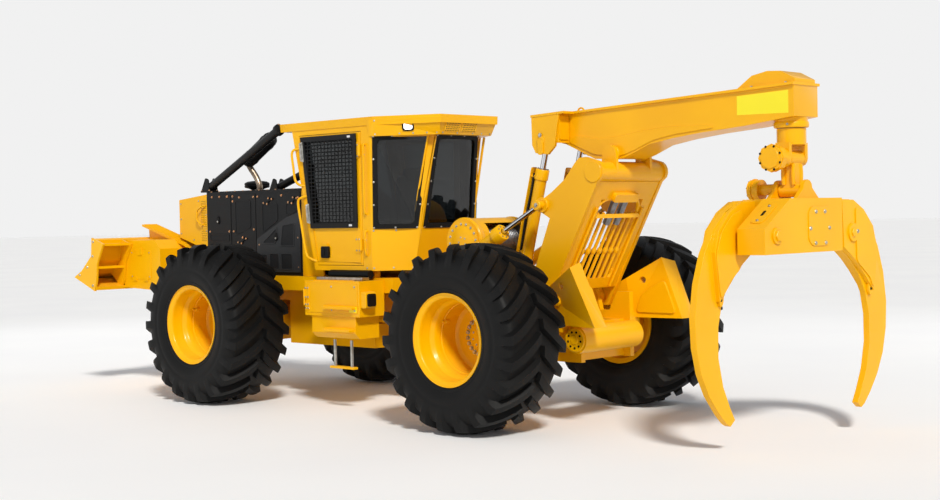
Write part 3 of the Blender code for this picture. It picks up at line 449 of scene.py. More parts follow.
RIM = ((-0.10, 0.0), (-0.10, 0.118), (-0.108, 0.128), (-0.128, 0.130), (-0.128, 0.28), (-0.120, 0.315),
       (-0.105, 0.330), (-0.02, 0.334), (0.07, 0.337), (0.075, 0.345), (0.085, 0.347), (0.092, 0.340),
       (0.150, 0.344), (0.170, 0.356), (0.186, 0.374), (0.205, 0.384), (0.300, 0.391), (0.322, 0.394),
       (0.334, 0.402), (0.340, 0.418), (0.345, 0.437), (0.350, 0.4435), (0.356, 0.4425), (0.356, 0.446),
       (0.341, 0.4435), (0.323, 0.4105), (0.15, 0.37), (-0.15, 0.37), (-0.323, 0.4105), (-0.341, 0.4435),
       (-0.355, 0.4435), (-0.335, 0.392), (-0.155, 0.34), (-0.155, 0.20), (-0.30, 0.19), (-0.30, 0.0))
for end in ("front", "rear"):
    for side, s in SIDES:
        label = f"{end}_{side}"
        body = "wheel_" + label
        hub = np.array([s * 1.30, -4.05 if end == "front" else 0.0, WHEEL_Z])
        build("tyre_tread_" + label, TYRE, body, tyre(hub), smooth=28, instead=("tyre_" + label,))
        build("wheel_rim_" + label, ENAMEL, body, revolve(RIM, hub, s * X, 96), smooth=40,
              instead=("rim_" + label,))
        face = hub - s * 0.128 * X
        cap = hub - s * 0.10 * X
        studs = around(face, s * X, 0.175, 20, 0.1)
        build("wheel_nuts_" + label, ZINC, body, bolts(studs, s * X, 0.034, 0.020),
              bolts(around(cap, s * X, 0.085, 8, 0.3), s * X, 0.016, 0.007))
        stub = hub + s * 0.02 * X - 0.30 * Y + 0.15 * Z
        build("valve_boss_" + label, ENAMEL, body, disc(stub, s * X, 0.026, 0.05, 0.006, 16),
              revolve([(0.04, 0), (0.04, 0.012), (0.078, 0.012), (0.083, 0.007), (0.083, 0)], stub, s * X,
                      12))


# ---- cab ----
def cab_corner(index, z):
    """The cab's plan at a height: its front wall leans forwards and its rear wall leans back."""
    rise = (z - 1.50) / 1.56
    front, rear, corner = -2.89 - 0.35 * rise, -1.63 + 0.25 * rise, 0.46 - 0.13 * rise
    return np.array([(-0.78, front, z), (0.78, front, z), (0.78, -1.95, z), (corner, rear, z),
                     (-corner, rear, z), (-0.78, -1.95, z)][index])


def wall_outline(first, second, z_low, z_high, start, end):
    """The four corners of an opening in the wall between two corners of the cab's plan."""
    ends = [(cab_corner(first, z), cab_corner(second, z)) for z in (z_low, z_high)]
    (a, b), (c, d) = ends
    return [a + (b - a) * start, a + (b - a) * end, c + (d - c) * end, c + (d - c) * start]


def wall_plane(corners):
    """A plane on an opening, and its corners as flat coordinates in it."""
    start = corners[0]
    u = corners[1] - start
    u /= np.linalg.norm(u)
    out = np.cross(u, corners[3] - start)
    out /= np.linalg.norm(out)
    v = np.cross(out, u)
    return (start, u, v, out), [((c - start).dot(u), (c - start).dot(v)) for c in corners]


def edge_places(outline, gap, by):
    """Places for bolts along an outline's sides, moved inwards, about one per gap."""
    line = inset(outline, by)
    places = []
    for a, b in zip(line, line[1:] + line[:1]):
        a, b = np.array(a), np.array(b)
        count = max(1, round(np.linalg.norm(b - a) / gap))
        places += [a + (b - a) * k / count for k in range(count)]
    return places


WINDOWS = (("left", 2, 3, 1.97, 2.93, 0.07, 0.90), ("right", 4, 5, 1.97, 2.93, 0.10, 0.93),
           ("rear", 3, 4, 1.97, 2.93, 0.06, 0.94), ("front", 0, 1, 1.72, 2.97, 0.10, 0.90))
for label, first, second, low, high, start, end in WINDOWS:
    plane, corners = wall_plane(wall_outline(first, second, low, high, start, end))
    outer = rounded(inset(corners, -0.022), 0.03)
    inner = rounded(inset(corners, 0.030), 0.05)
    build(f"window_frame_{label}", SEAL_AND_HOLE_SHADE, "front", ring_plate(plane, outer, inner, -0.018, 0.010),
          bevel=0.002)
    places = [laid(plane, [p], 0.010)[0] for p in edge_places(inset(corners, -0.022), 0.24, 0.012)]
    build(f"window_bolts_{label}", ZINC, "front", bolts(places, plane[3], 0.015, 0.006))
for node in ("windscreen", "side_glass_left", "side_glass_right", "rear_glass"):
    coat(node, GLASS)

DOOR_WINDOW = [(-2.90, 2.02), (-2.18, 2.02), (-2.18, 2.93), (-3.03, 2.93)]
GUARD = [(-2.925, 1.965), (-2.150, 1.965), (-2.150, 2.985), (-3.075, 2.985)]
for side, s in SIDES:
    door = "door_" + side
    plane = on_side(s, 0.782)
    softened(door, ENAMEL, 0.003)
    coat("door_glass_" + side, GLASS)
    build(f"door_seal_{side}", SEAL_AND_HOLE_SHADE, door,
          ring_plate(plane, rounded(inset(DOOR_WINDOW, -0.02), 0.03),
                     rounded(inset(DOOR_WINDOW, 0.014), 0.03),
                     -0.030, 0.004))
    inner = inset(GUARD, 0.055)
    bars = [ring_plate(plane, GUARD, inner, 0.012, 0.024)]
    rows = np.linspace(inner[0][1], inner[2][1], 23)[1:-1]
    for z in rows:
        lean = (z - inner[0][1]) / (inner[3][1] - inner[0][1])
        front = inner[0][0] + lean * (inner[3][0] - inner[0][0])
        bars.append(plate(plane, rect(front - 0.01, inner[1][0] + 0.01, z - 0.0045, z + 0.0045), 0.014,
                          0.018))
    for y in np.linspace(inner[3][0], inner[1][0], 15)[1:-1]:
        foot = inner[0][1] - 0.01
        if y < inner[0][0]:
            share = (inner[0][0] - y) / (inner[0][0] - inner[3][0])
            foot = inner[0][1] + share * (inner[3][1] - inner[0][1])
        bars.append(plate(plane, rect(y - 0.005, y + 0.005, foot, inner[2][1] + 0.01), 0.017, 0.021))
    build(f"door_guard_{side}", POWDER, door, *bars)
    hinge_parts, hinge_bolts = [], []
    for y, z in ((-3.045, 2.82), (-2.955, 2.13)):
        leaf = [(y - 0.030, z - 0.10), (y + 0.030, z - 0.115), (y + 0.012, z + 0.115),
                (y - 0.048, z + 0.10)]
        hinge_parts.append(plate(plane, rounded(leaf, 0.012), 0.022, 0.028))
        hinge_parts.append(sweep([(s * 0.812, y + 0.004, z - 0.085), (s * 0.812, y - 0.022, z + 0.085)],
                                 0.009, 10,
                                 False))
        hinge_bolts += [(s * 0.810, y + dy, z + dz) for dy,
                        dz in ((0.012, -0.085), (-0.018, -0.08), (0.0, 0.09),
                                                                (-0.030, 0.085))]
    build(f"guard_hinges_{side}", ZINC, door, *hinge_parts, bolts(hinge_bolts, s * X, 0.013, 0.006),
          bevel=0.0015)
    tags = [plate(plane, rounded(rect(-2.285, -2.235, z, z + 0.022), 0.006), 0.0240,
                  0.0248) for z in (1.983, 2.945)]
    build(f"blank_tags_{side}", TAG, door, *tags)
    grip = rounded(rect(-2.755, -2.630, 1.635, 1.765), 0.02)
    cup = rounded(rect(-2.738, -2.648, 1.655, 1.745), 0.015)
    build(f"door_latch_{side}", POWDER, door, ring_plate(plane, grip, cup, 0.0, 0.030),
          plate(plane, inset(grip, 0.002), 0.0, 0.023),
          plate(plane, rounded(rect(-2.735, -2.70, 1.665, 1.735), 0.008), 0.023, 0.029),
          bevel=0.0015)
    leaves, pins = [], []
    for z in (1.78, 2.80):
        leaves.append(plate(plane, rounded(rect(-2.20, -2.122, z - 0.09, z + 0.09), 0.02), 0.0, 0.008))
        pins += [(s * 0.790, -2.182, z + dz) for dz in (-0.06, 0.06)]
        pins += [(s * 0.790, -2.140, z + dz) for dz in (-0.06, 0.06)]
    build(f"door_hinge_leaves_{side}", ENAMEL, door, *leaves, bevel=0.0015)
    build(f"door_hinge_bolts_{side}", ZINC, door, bolts(pins, s * X, 0.015, 0.007))
    edge = sweep([(s * 0.786, -3.095, 2.985), (s * 0.786, -2.83, 1.60), (s * 0.786, -2.12, 1.585),
                  (s * 0.786, -2.115, 2.985)], 0.004, 8, False)
    build(f"door_fold_{side}", ENAMEL, door, edge)
    rail_top = [(s * 0.77, -3.13, 2.86), (s * 0.815, -3.17, 2.85), (s * 0.828, -3.195, 2.80),
                (s * 0.828, -3.175, 2.66),
                (s * 0.828, -3.150, 2.52), (s * 0.815, -3.10, 2.46), (s * 0.77, -3.05, 2.44)]
    rail_low = [(s * 0.77, -2.99, 2.33), (s * 0.815, -3.06, 2.31), (s * 0.828, -3.105, 2.25),
                (s * 0.828, -3.05, 1.98),
                (s * 0.828, -2.985, 1.69), (s * 0.815, -2.93, 1.63), (s * 0.77, -2.87, 1.60)]
    build(f"grab_rails_{side}", ENAMEL, "front", sweep(rail_top, 0.014, 12), sweep(rail_low, 0.014, 12))
    post = [(s * 0.775, -2.02, 2.86), (s * 0.812, -2.02, 2.83), (s * 0.815, -2.02, 2.5),
            (s * 0.812, -2.02, 2.15),
            (s * 0.775, -2.02, 2.11)]
    low_post = [(s * 0.775, -2.02, 1.93), (s * 0.810, -2.02, 1.90), (s * 0.810, -2.02, 1.70),
                (s * 0.775, -2.02, 1.66)]
    build(f"pillar_rails_{side}", ENAMEL, "front", sweep(post, 0.010, 10), sweep(low_post, 0.010, 10))
    fixed = [(s * 0.781, -2.045, z + dz) for z in (1.78, 2.80) for dz in (-0.05, 0.05)]
    fixed += [(s * 0.781, -2.03, 1.53)]
    build(f"pillar_bolts_{side}", ZINC, "front", bolts(fixed, s * X, 0.015, 0.007))
softened("cab_shell", ENAMEL, 0.004)
softened("cab_roof", ENAMEL, 0.006)

# lower wall bolts, behind the doors
for label, first, second in (("left", 2, 3), ("rear", 3, 4), ("right", 4, 5)):
    plane, corners = wall_plane(wall_outline(first, second, 1.53, 1.93, 0.04, 0.96))
    spots = [laid(plane, [p], 0.0)[0] for p in edge_places(corners, 0.22, 0.0)][:7]
    build(f"wall_bolts_{label}", ZINC, "front", bolts(spots, plane[3], 0.015, 0.006))

# visor: rear vents, plain panel, lamps and bolts
visor_low, visor_high = np.array([0, -1.27, 2.94]), np.array([0, -1.21, 3.12])
lean = visor_high - visor_low
lean /= np.linalg.norm(lean)
rear_visor = (visor_low, X, lean, np.cross(lean, X) * -1 if np.cross(lean, X)[1] < 0 else np.cross(lean, X))
for label, x in (("outer", 0.228), ("inner", -0.026)):
    frame_line = rounded(rect(x - 0.118, x + 0.118, 0.032, 0.168), 0.012)
    build(f"vent_plate_{label}", ENAMEL, "front", plate(rear_visor, frame_line, 0.0, 0.004), bevel=0.001)
    # painted shade: the vent openings are thin black diamonds laid on the plate, not cut
    holes = []
    for row in range(6):
        for column in range(9 - row % 2):
            u = x - 0.096 + 0.024 * column + (0.012 if row % 2 else 0)
            v = 0.043 + 0.020 * row
            holes.append(plate(rear_visor,
                               rounded([(u - 0.009, v), (u, v - 0.007), (u + 0.009, v), (u, v + 0.007)],
                                       0.004, 2),
                               0.0035, 0.0046))
    build(f"vent_hole_shade_{label}", SEAL_AND_HOLE_SHADE, "front", *holes)
visor_bolts = [laid(rear_visor, [(x, v)], 0.0)[0] for x in (-0.37, -0.24, -0.1, 0.14, 0.36) for v in (0.02,
      0.165)]
build("visor_bolts_rear", ZINC, "front", bolts(visor_bolts, rear_visor[3], 0.014, 0.006))
for side, s in SIDES:
    a, b = np.array([s * 0.785, -1.90, 2.94]), np.array([s * 0.40, -1.27, 2.94])
    top = np.array([s * 0.80, -1.88, 3.12])
    u = (b - a) / np.linalg.norm(b - a)
    v = top - a - (top - a).dot(u) * u
    v /= np.linalg.norm(v)
    out = np.cross(u, v)
    out *= math.copysign(1, out[0] * s)
    side_visor = (a, u, v, out)
    build(f"visor_lamp_{side}", POWDER, "front",
          ring_plate(side_visor, rounded(rect(0.335, 0.465, 0.045, 0.150), 0.03),
                     rounded(rect(0.352, 0.448, 0.060, 0.135), 0.025),
                     0.0, 0.012), bevel=0.002)
    build(f"visor_lens_{side}", LENS, "front",
          plate(side_visor, rounded(rect(0.352, 0.448, 0.060, 0.135), 0.025), 0.0, 0.007),
          bevel=0.002)
    spots = [laid(side_visor, [(x, z)], 0.0)[0] for x in (0.03, 0.30, 0.45, 0.60, 0.71) for z in (0.02,
          0.165)]
    build(f"visor_bolts_{side}", ZINC, "front", bolts(spots, out, 0.014, 0.006))
    corner = sweep([(s * 0.455, -1.66, 1.96), (s * 0.405, -1.44, 2.93)], 0.011, 10, False)
    build(f"corner_post_{side}", ENAMEL, "front", corner)


# ---- seat and controls ----
def pillow(centre, half, out=Z, along=X, puff=0.32, channels=3):
    """A crowned cushion: a rounded box whose height swells by the product of two raised cosines and is
    drawn in along sewn channels."""
    out, along = np.asarray(out, float), np.asarray(along, float)
    third = np.cross(out, along)
    u, v = (a.ravel() for a in np.meshgrid(np.linspace(-1, 1, 33), np.linspace(-1, 1, 33), indexing="ij"))
    edge = (1 - np.abs(u) ** 6) * (1 - np.abs(v) ** 6)
    swell = np.clip(edge, 0, 1) ** 0.35 * (1 + puff * np.cos(u * np.pi / 2) * np.cos(v * np.pi / 2))
    seam = 1 - 0.10 * np.exp(-((np.abs(((v + 1) * (channels + 1) / 2) % 1 - 0.5) - 0.5) / 0.07) ** 2)
    pull = 1 - 0.05 * (1 - np.cos(u * np.pi / 2)) * (1 - np.cos(v * np.pi / 2))
    top = swell * seam
    sheets = []
    for sign, tall in ((1, top), (-1, np.clip(edge, 0, 1) ** 0.35 * 0.9)):
        sheets.append(np.asarray(centre) + (u * pull)[:, None] * half[0] * along + (v * pull)[:,
              None] * half[1] * third
                      + sign * (tall * half[2])[:, None] * out)
    faces = quads(33, 33)
    return np.vstack(sheets), faces + [[i + 33 * 33 for i in f[::-1]] for f in faces]


seat_pan = build("seat_cushion", VINYL, "front", pillow((0, -2.38, 1.925), (0.25, 0.27, 0.05), Z, X),
                 instead=("seat",))
seat_back = build("seat_backrest", VINYL, "front", pillow((0, -2.11, 2.24), (0.24, 0.30, 0.045), -Y, X))
head_rest = build("seat_headrest", VINYL, "front",
                  pillow((0, -2.105, 2.535), (0.13, 0.075, 0.045), -Y, X, channels=1))
build("seat_base", POWDER, "front",
      revolve([(0, 0), (0, 0.16), (0.05, 0.17), (0.10, 0.12), (0.26, 0.11), (0.31, 0.19), (0.325, 0.19),
               (0.325, 0)],
                                            (0, -2.42, 1.555), Z, 32))
for side, s in SIDES:
    build(f"arm_pod_{side}", POWDER, "front",
          plate(on_side(1, s * 0.31),
                rounded([(-2.62, 2.06), (-2.20, 2.10), (-2.20, 2.16), (-2.60, 2.14)], 0.03), -0.04, 0.04),
                bevel=0.008)
    build(f"joystick_{side}", SEAL_AND_HOLE_SHADE, "front",
          revolve([(0, 0), (0, 0.035), (0.02, 0.03), (0.04, 0.012), (0.09, 0.011), (0.11, 0.02),
                   (0.15, 0.022), (0.17, 0.012), (0.172, 0)],
                  (s * 0.31, -2.56, 2.135), (0, -0.15, 1), 20))
softened("dash_console", POWDER, 0.01)
build("dash_screen", SCREEN, "front",
      plate(on_back(-2.80), rounded(rect(-0.12, 0.12, 2.02, 2.16), 0.015), -0.03, 0.0), bevel=0.003)


# ---- engine enclosure and grille housing ----
softened("engine_enclosure", POWDER, 0.006)
softened("grille_housing", ENAMEL, 0.005)
coat("engine_block", CAST)
coat("front_grille", SCREEN)
HOOD_SIDE, HOOD_TOP = 0.62, 2.42   # half width and lid height of the engine enclosure
PANELS = (rect(-5.085, -4.612, 1.45, 2.385), rect(-4.595, -4.135, 1.45, 2.385),
          rect(-4.120, -3.315, 1.45, 2.385))
SCREENS = ([(-4.51, 1.905), (-4.235, 1.99), (-4.235, 2.30), (-4.51, 2.30)], rect(-5.02, -4.66, 1.83, 1.90),
           [(-3.995, 1.935), (-3.73, 2.065), (-3.73, 2.25), (-3.995, 2.25)],
           [(-3.56, 2.125), (-3.37, 2.17), (-3.37, 2.25), (-3.56, 2.25)])
BAND = [(-4.115, 1.46), (-4.115, 1.845), (-3.56, 2.095), (-3.32, 2.155), (-3.32, 1.46)]
BAND_SCREENS = ([(-3.99, 1.80), (-3.77, 1.80), (-3.74, 1.965)],
                [(-3.665, 1.77), (-3.435, 1.77), (-3.415, 2.02), (-3.62, 2.00)],
                rect(-4.08, -3.92, 1.50, 1.66), rect(-3.87, -3.71, 1.50, 1.67),
                rect(-3.66, -3.47, 1.50, 1.67))
for side, s in SIDES:
    wall = on_side(s, HOOD_SIDE)
    build(f"engine_panels_{side}", POWDER, "front",
          *[plate(wall, rounded(p, 0.02), 0.0, 0.006) for p in PANELS],
          bevel=0.002)
    build(f"engine_screens_{side}", SCREEN, "front",
          *[plate(wall, rounded(p, 0.03), 0.006, 0.0075) for p in SCREENS])
    build(f"screen_rims_{side}", POWDER, "front",
          *[ring_plate(wall, rounded(inset(p, -0.012), 0.035), rounded(p, 0.03), 0.006,
                       0.011) for p in SCREENS],
          bevel=0.0015)
    build(f"lower_guard_{side}", GREY_COAT, "front", plate(wall, rounded(BAND, 0.025), 0.006, 0.014),
          bevel=0.002)
    build(f"guard_screens_{side}", SCREEN, "front",
          *[plate(wall, rounded(p, 0.022), 0.014, 0.0152) for p in BAND_SCREENS])
    build(f"guard_rims_{side}", GREY_COAT, "front",
          *[ring_plate(wall, rounded(inset(p, -0.012), 0.028), rounded(p, 0.022), 0.014,
                       0.020) for p in BAND_SCREENS],
          bevel=0.0015)
    spots = [(-4.98, 2.36), (-4.83, 2.36), (-4.68, 2.36), (-4.57, 2.36), (-4.57, 2.30), (-4.44, 2.345),
             (-4.17, 2.345),
             (-4.09, 2.345), (-5.03, 1.94), (-4.645, 1.94), (-4.56, 1.94), (-4.17, 1.96), (-3.65, 2.35),
             (-3.35, 2.32),
             (-4.07, 1.78), (-3.36, 1.86), (-3.36, 1.52), (-4.06, 1.50), (-5.03, 1.50), (-4.56, 1.50)]
    hinge_spots, arms = [], []
    for y, z in ((-4.39, 1.83), (-3.89, 2.29), (-3.44, 2.29)):
        arms.append(plate(wall,
                          rounded([(y - 0.09, z - 0.035), (y + 0.07, z + 0.012), (y + 0.09, z + 0.035),
                                   (y - 0.07, z - 0.012)], 0.012),
                          0.008, 0.018))
        arms.append(plate(wall,
                          rounded([(y - 0.035, z - 0.045), (y + 0.0, z - 0.045), (y + 0.035, z + 0.045),
                                   (y + 0.0, z + 0.045)], 0.012),
                          0.008, 0.016))
        hinge_spots += [(y - 0.075, z - 0.022), (y + 0.075, z + 0.022), (y - 0.012, z - 0.033),
                        (y + 0.012, z + 0.033)]
    build(f"panel_hinges_{side}", POWDER, "front", *arms, bevel=0.0015)
    build(f"panel_bolts_{side}", PASSIVATED, "front",
          bolts([(s * 0.626, *p) for p in spots], s * X, 0.020, 0.009),
          bolts([(s * 0.636, *p) for p in hinge_spots], s * X, 0.018, 0.008))
    for k, (y, z, lift) in enumerate(((-4.86, 2.06, 0.006), (-3.745, 1.855, 0.014))):
        drop = [(y + 0.030 * math.cos(t),
                 z + 0.030 * math.sin(t) + (0.035 if math.sin(t) > 0.6 else 0)) for t in
                np.linspace(0, 2 * math.pi, 20, endpoint=False)]
        build(f"latch_{side}_{k}", SEAL_AND_HOLE_SHADE, "front", plate(wall, drop, lift, lift + 0.012), bevel=0.003)
        build(f"latch_key_{side}_{k}", ZINC, "front",
              disc((s * (HOOD_SIDE + lift + 0.012), y, z), s * X, 0.012, 0.005, 0.0015, 16))
    cheek = on_side(s, 0.60)
    strip = [(-5.245, 1.80), (-5.115, 1.76), (-5.115, 2.36), (-5.245, 2.345)]
    build(f"housing_strip_{side}", ENAMEL, "front", plate(cheek, rounded(strip, 0.012), 0.0, 0.005),
          bevel=0.0015)
    # painted shade: the strip's holes are thin black discs laid on it, not cut
    dots = [disc((s * 0.605, y, z), s * X, 0.0055, 0.0008, 0.0002, 6) for y in np.arange(-5.225, -5.13,
          0.022)
            for z in np.arange(1.83, 2.33, 0.022)]
    build(f"housing_hole_shade_{side}", SEAL_AND_HOLE_SHADE, "front", *dots)
    pull = [(s * 0.60, -5.14, 2.255), (s * 0.640, -5.16, 2.255), (s * 0.652, -5.22, 2.225),
            (s * 0.652, -5.26, 2.195),
            (s * 0.652, -5.262, 2.14), (s * 0.652, -5.26, 2.085), (s * 0.640, -5.20, 2.035),
            (s * 0.60, -5.18, 2.03)]
    build(f"housing_pull_{side}", ENAMEL, "front", sweep(pull, 0.011, 12))
    marks = [(s * 0.60, y, z) for y,
             z in ((-5.66, 1.92), (-5.66, 2.10), (-5.66, 2.29), (-5.40, 1.84), (-5.29, 2.32),
                                         (-5.13, 1.95), (-5.13, 2.15))]
    build(f"housing_bolts_{side}", ZINC, "front", bolts(marks, s * X, 0.016, 0.007))
    lid = [(s * 0.585, y, HOOD_TOP) for y in np.arange(-5.04, -3.34, 0.155)]
    build(f"lid_bolts_{side}", PASSIVATED, "front", bolts(lid, Z, 0.020, 0.009))
top = on_top(HOOD_TOP)
build("lid_plates", POWDER, "front", *[plate(top, rounded(p, 0.03), 0.0, 0.007) for p in
                                    (rect(-0.56, 0.56, -5.07, -4.30), rect(-0.56, 0.56, -4.27, -3.34))],
                                    bevel=0.002)
build("lid_screen", SCREEN, "front",
      plate(top, rounded(rect(-0.40, 0.05, -4.15, -3.50), 0.04), 0.007, 0.0085))
slats = [plate(on_back(-5.692, -1), rect(-0.468, 0.468, z - 0.006, z + 0.006), 0.0,
               0.014) for z in np.arange(1.975, 2.27, 0.034)]
build("grille_slats", POWDER, "front", *slats, bevel=0.001)
build("grille_rim", ENAMEL, "front",
      ring_plate(on_back(-5.70, -1), rounded(rect(-0.51, 0.51, 1.915, 2.315), 0.03),
                                               rounded(rect(-0.47, 0.47, 1.95, 2.28), 0.02), 0.0, 0.006),
                                               bevel=0.0015)

# risers, muffler, exhaust and air cleaner
for side, s in SIDES:
    base, tip = np.array([s * 0.53, -5.16, 2.47]), np.array([s * 0.775, -3.456, 3.105])
    run = tip - base
    build(f"riser_tube_{side}", POWDER, "front",
          sweep([base, base + run * 0.5, tip - run * 0.004], 0.050, 28, False),
          disc(tip - run * 0.03, run, 0.068, 0.045, 0.006, 24),
          plate(on_top(2.421), rounded([(s * 0.53 - 0.075, -5.245), (s * 0.53 + 0.075, -5.245),
                                        (s * 0.53 + 0.075, -5.06), (s * 0.53 - 0.075, -5.06)], 0.02), 0,
                                        0.022),
          plate(on_side(1, s * 0.53),
                rounded([(-5.235, 2.44), (-5.07, 2.44), (-5.09, 2.58), (-5.15, 2.60)], 0.02), -0.066,
                -0.050),
          plate(on_side(1, s * 0.53),
                rounded([(-5.235, 2.44), (-5.07, 2.44), (-5.09, 2.58), (-5.15, 2.60)], 0.02), 0.050, 0.066),
          bevel=0.002, instead=("riser_" + side,))
    feet = [(s * 0.53 + dx, y, 2.443) for dx in (-0.058, 0.058) for y in (-5.225, -5.08)]
    build(f"riser_bolts_{side}", PASSIVATED, "front", bolts(feet, Z, 0.022, 0.011),
          bolts([tip - run * 0.02 + (0, 0, 0.062)], Z, 0.022, 0.011))
MUFFLER, FLOW = (0.38, -4.60, 2.77), (0.04, 0.56, 0.28)
shell = [(0.0, 0.0), (0.0, 0.040), (0.012, 0.066), (0.035, 0.083), (0.065, 0.090), (0.565, 0.090),
         (0.595, 0.083),
         (0.615, 0.066), (0.627, 0.040), (0.627, 0)]
build("muffler", POWDER, "front", revolve(shell, MUFFLER, FLOW, 40),
      *[revolve([(t, 0.089), (t, 0.095), (t + 0.025, 0.095), (t + 0.025, 0.089)], MUFFLER, FLOW,
                40) for t in (0.12, 0.48)],
      smooth=45, instead=("exhaust_stack",))
build("exhaust_pipe", EXHAUST, "front",
      sweep([(0.33, -4.42, 2.425), (0.33, -4.42, 2.49), (0.337, -4.47, 2.59), (0.36, -4.545, 2.70),
             (0.38, -4.585, 2.785)], 0.036, 24))
build("exhaust_collar", EXHAUST, "front", disc((0.33, -4.42, 2.421), Z, 0.062, 0.016, 0.004, 32))
build("air_cleaner", SEAL_AND_HOLE_SHADE, "front",
      revolve([(0, 0), (0, 0.075), (0.03, 0.075), (0.045, 0.11), (0.055, 0.152), (0.075, 0.158),
               (0.085, 0.152), (0.092, 0.158), (0.112, 0.154), (0.130, 0.12), (0.138, 0.06), (0.138, 0)],
              (-0.05, -4.95, 2.4205), Z, 48), instead=("air_intake",), smooth=45)

# ---- front frame and step boxes ----
softened("front_frame", ENAMEL, 0.006)
softened("front_axle", ENAMEL, 0.006)
softened("rear_axle", ENAMEL, 0.006)
for side, s in SIDES:
    softened("step_box_" + side, ENAMEL, 0.004)
    face = on_side(s, 1.06)
    build(f"box_lid_{side}", ENAMEL, "front",
          plate(face, rounded(rect(-2.72, -1.89, 1.055, 1.375), 0.02), 0.0, 0.006), bevel=0.002)
    hasp = rounded(rect(-2.735, -2.665, 1.20, 1.345), 0.01)
    build(f"box_hinge_{side}", ENAMEL, "front", plate(face, hasp, 0.006, 0.014),
          plate(face, rounded(rect(-2.735, -2.665, 1.08, 1.16), 0.01), 0.006, 0.014),
          sweep([(s * 1.078, -2.74, 1.13), (s * 1.078, -2.74, 1.31)], 0.010, 12, False), bevel=0.001)
    pts = [(s * 1.074, y, z) for y in (-2.72, -2.68) for z in (1.10, 1.14, 1.22, 1.32)]
    pts += [(s * 1.066, y, z) for y in (-1.93, -2.30) for z in (1.09, 1.34)]
    build(f"box_bolts_{side}", ZINC, "front", bolts(pts, s * X, 0.017, 0.008))
    mat_roll = sweep([(s * 0.80, -2.60, 1.462), (s * 0.80, -1.96, 1.462)], 0.046, 24, False)
    build(f"step_mat_{side}", SEAL_AND_HOLE_SHADE, "front", mat_roll)
    build(f"step_plate_{side}", ZINC, "front",
          plate(on_side(s, 0.86), rounded(rect(-2.66, -1.92, 1.405, 1.435), 0.006), 0.0, 0.10), bevel=0.002)
    for label, z, y0, y1 in (("upper", 1.125, -2.40, -1.92), ("lower", 0.885, -2.40, -1.97)):
        teeth = []
        for y in np.arange(y0 + 0.02, y1 - 0.01, 0.032):
            teeth.append(plate(on_side(1, s * 1.035),
                               [(y - 0.010, z - 0.004), (y + 0.010, z - 0.004), (y, z + 0.012)], -0.075,
                               0.075))
        build(f"tread_teeth_{label}_{side}", ENAMEL, "front", *teeth)
    saw = [plate(on_top(1.40),
                 [(s * 1.02, y - 0.012), (s * 1.052, y - 0.012), (s * 1.052, y + 0.012),
                  (s * 1.02, y + 0.012)], 0.0, 0.009)
           for y in np.arange(-2.60, -2.0, 0.04)]
    build(f"box_grip_{side}", ENAMEL, "front", *saw)
    build(f"blank_decal_{side}", DECAL, "front",
          plate(face, rounded(rect(-2.02, -1.90, 1.07, 1.13), 0.004), 0.006, 0.0066))
    pod = on_side(1, s * 0.97)
    build(f"lamp_pod_{side}", ENAMEL, "front",
          plate(pod, rounded(rect(-1.895, -1.775, 1.115, 1.290), 0.03), -0.075, 0.075),
          bevel=0.008)
    build(f"lamp_face_{side}", SEAL_AND_HOLE_SHADE, "front",
          plate(on_back(-1.775), rounded(rect(s * 0.97 - 0.058, s * 0.97 + 0.058, 1.135, 1.270), 0.025),
                -0.004, 0.020), bevel=0.006)
    rope_y = (-2.38, -2.11)
    ends = [revolve([(0, 0), (0, 0.018), (0.03, 0.018), (0.04, 0.010), (0.04, 0)], (s * 0.96, y, 0.455), Z,
                    12) for y in rope_y]
    ropes = [sweep([(s * 0.96, y, 0.47), (s * 0.96, y, 0.62), (s * 0.96, y, 0.76)], 0.017,
                   12) for y in rope_y]
    build(f"rope_ends_{side}", ZINC, "front", *ends, *ropes)

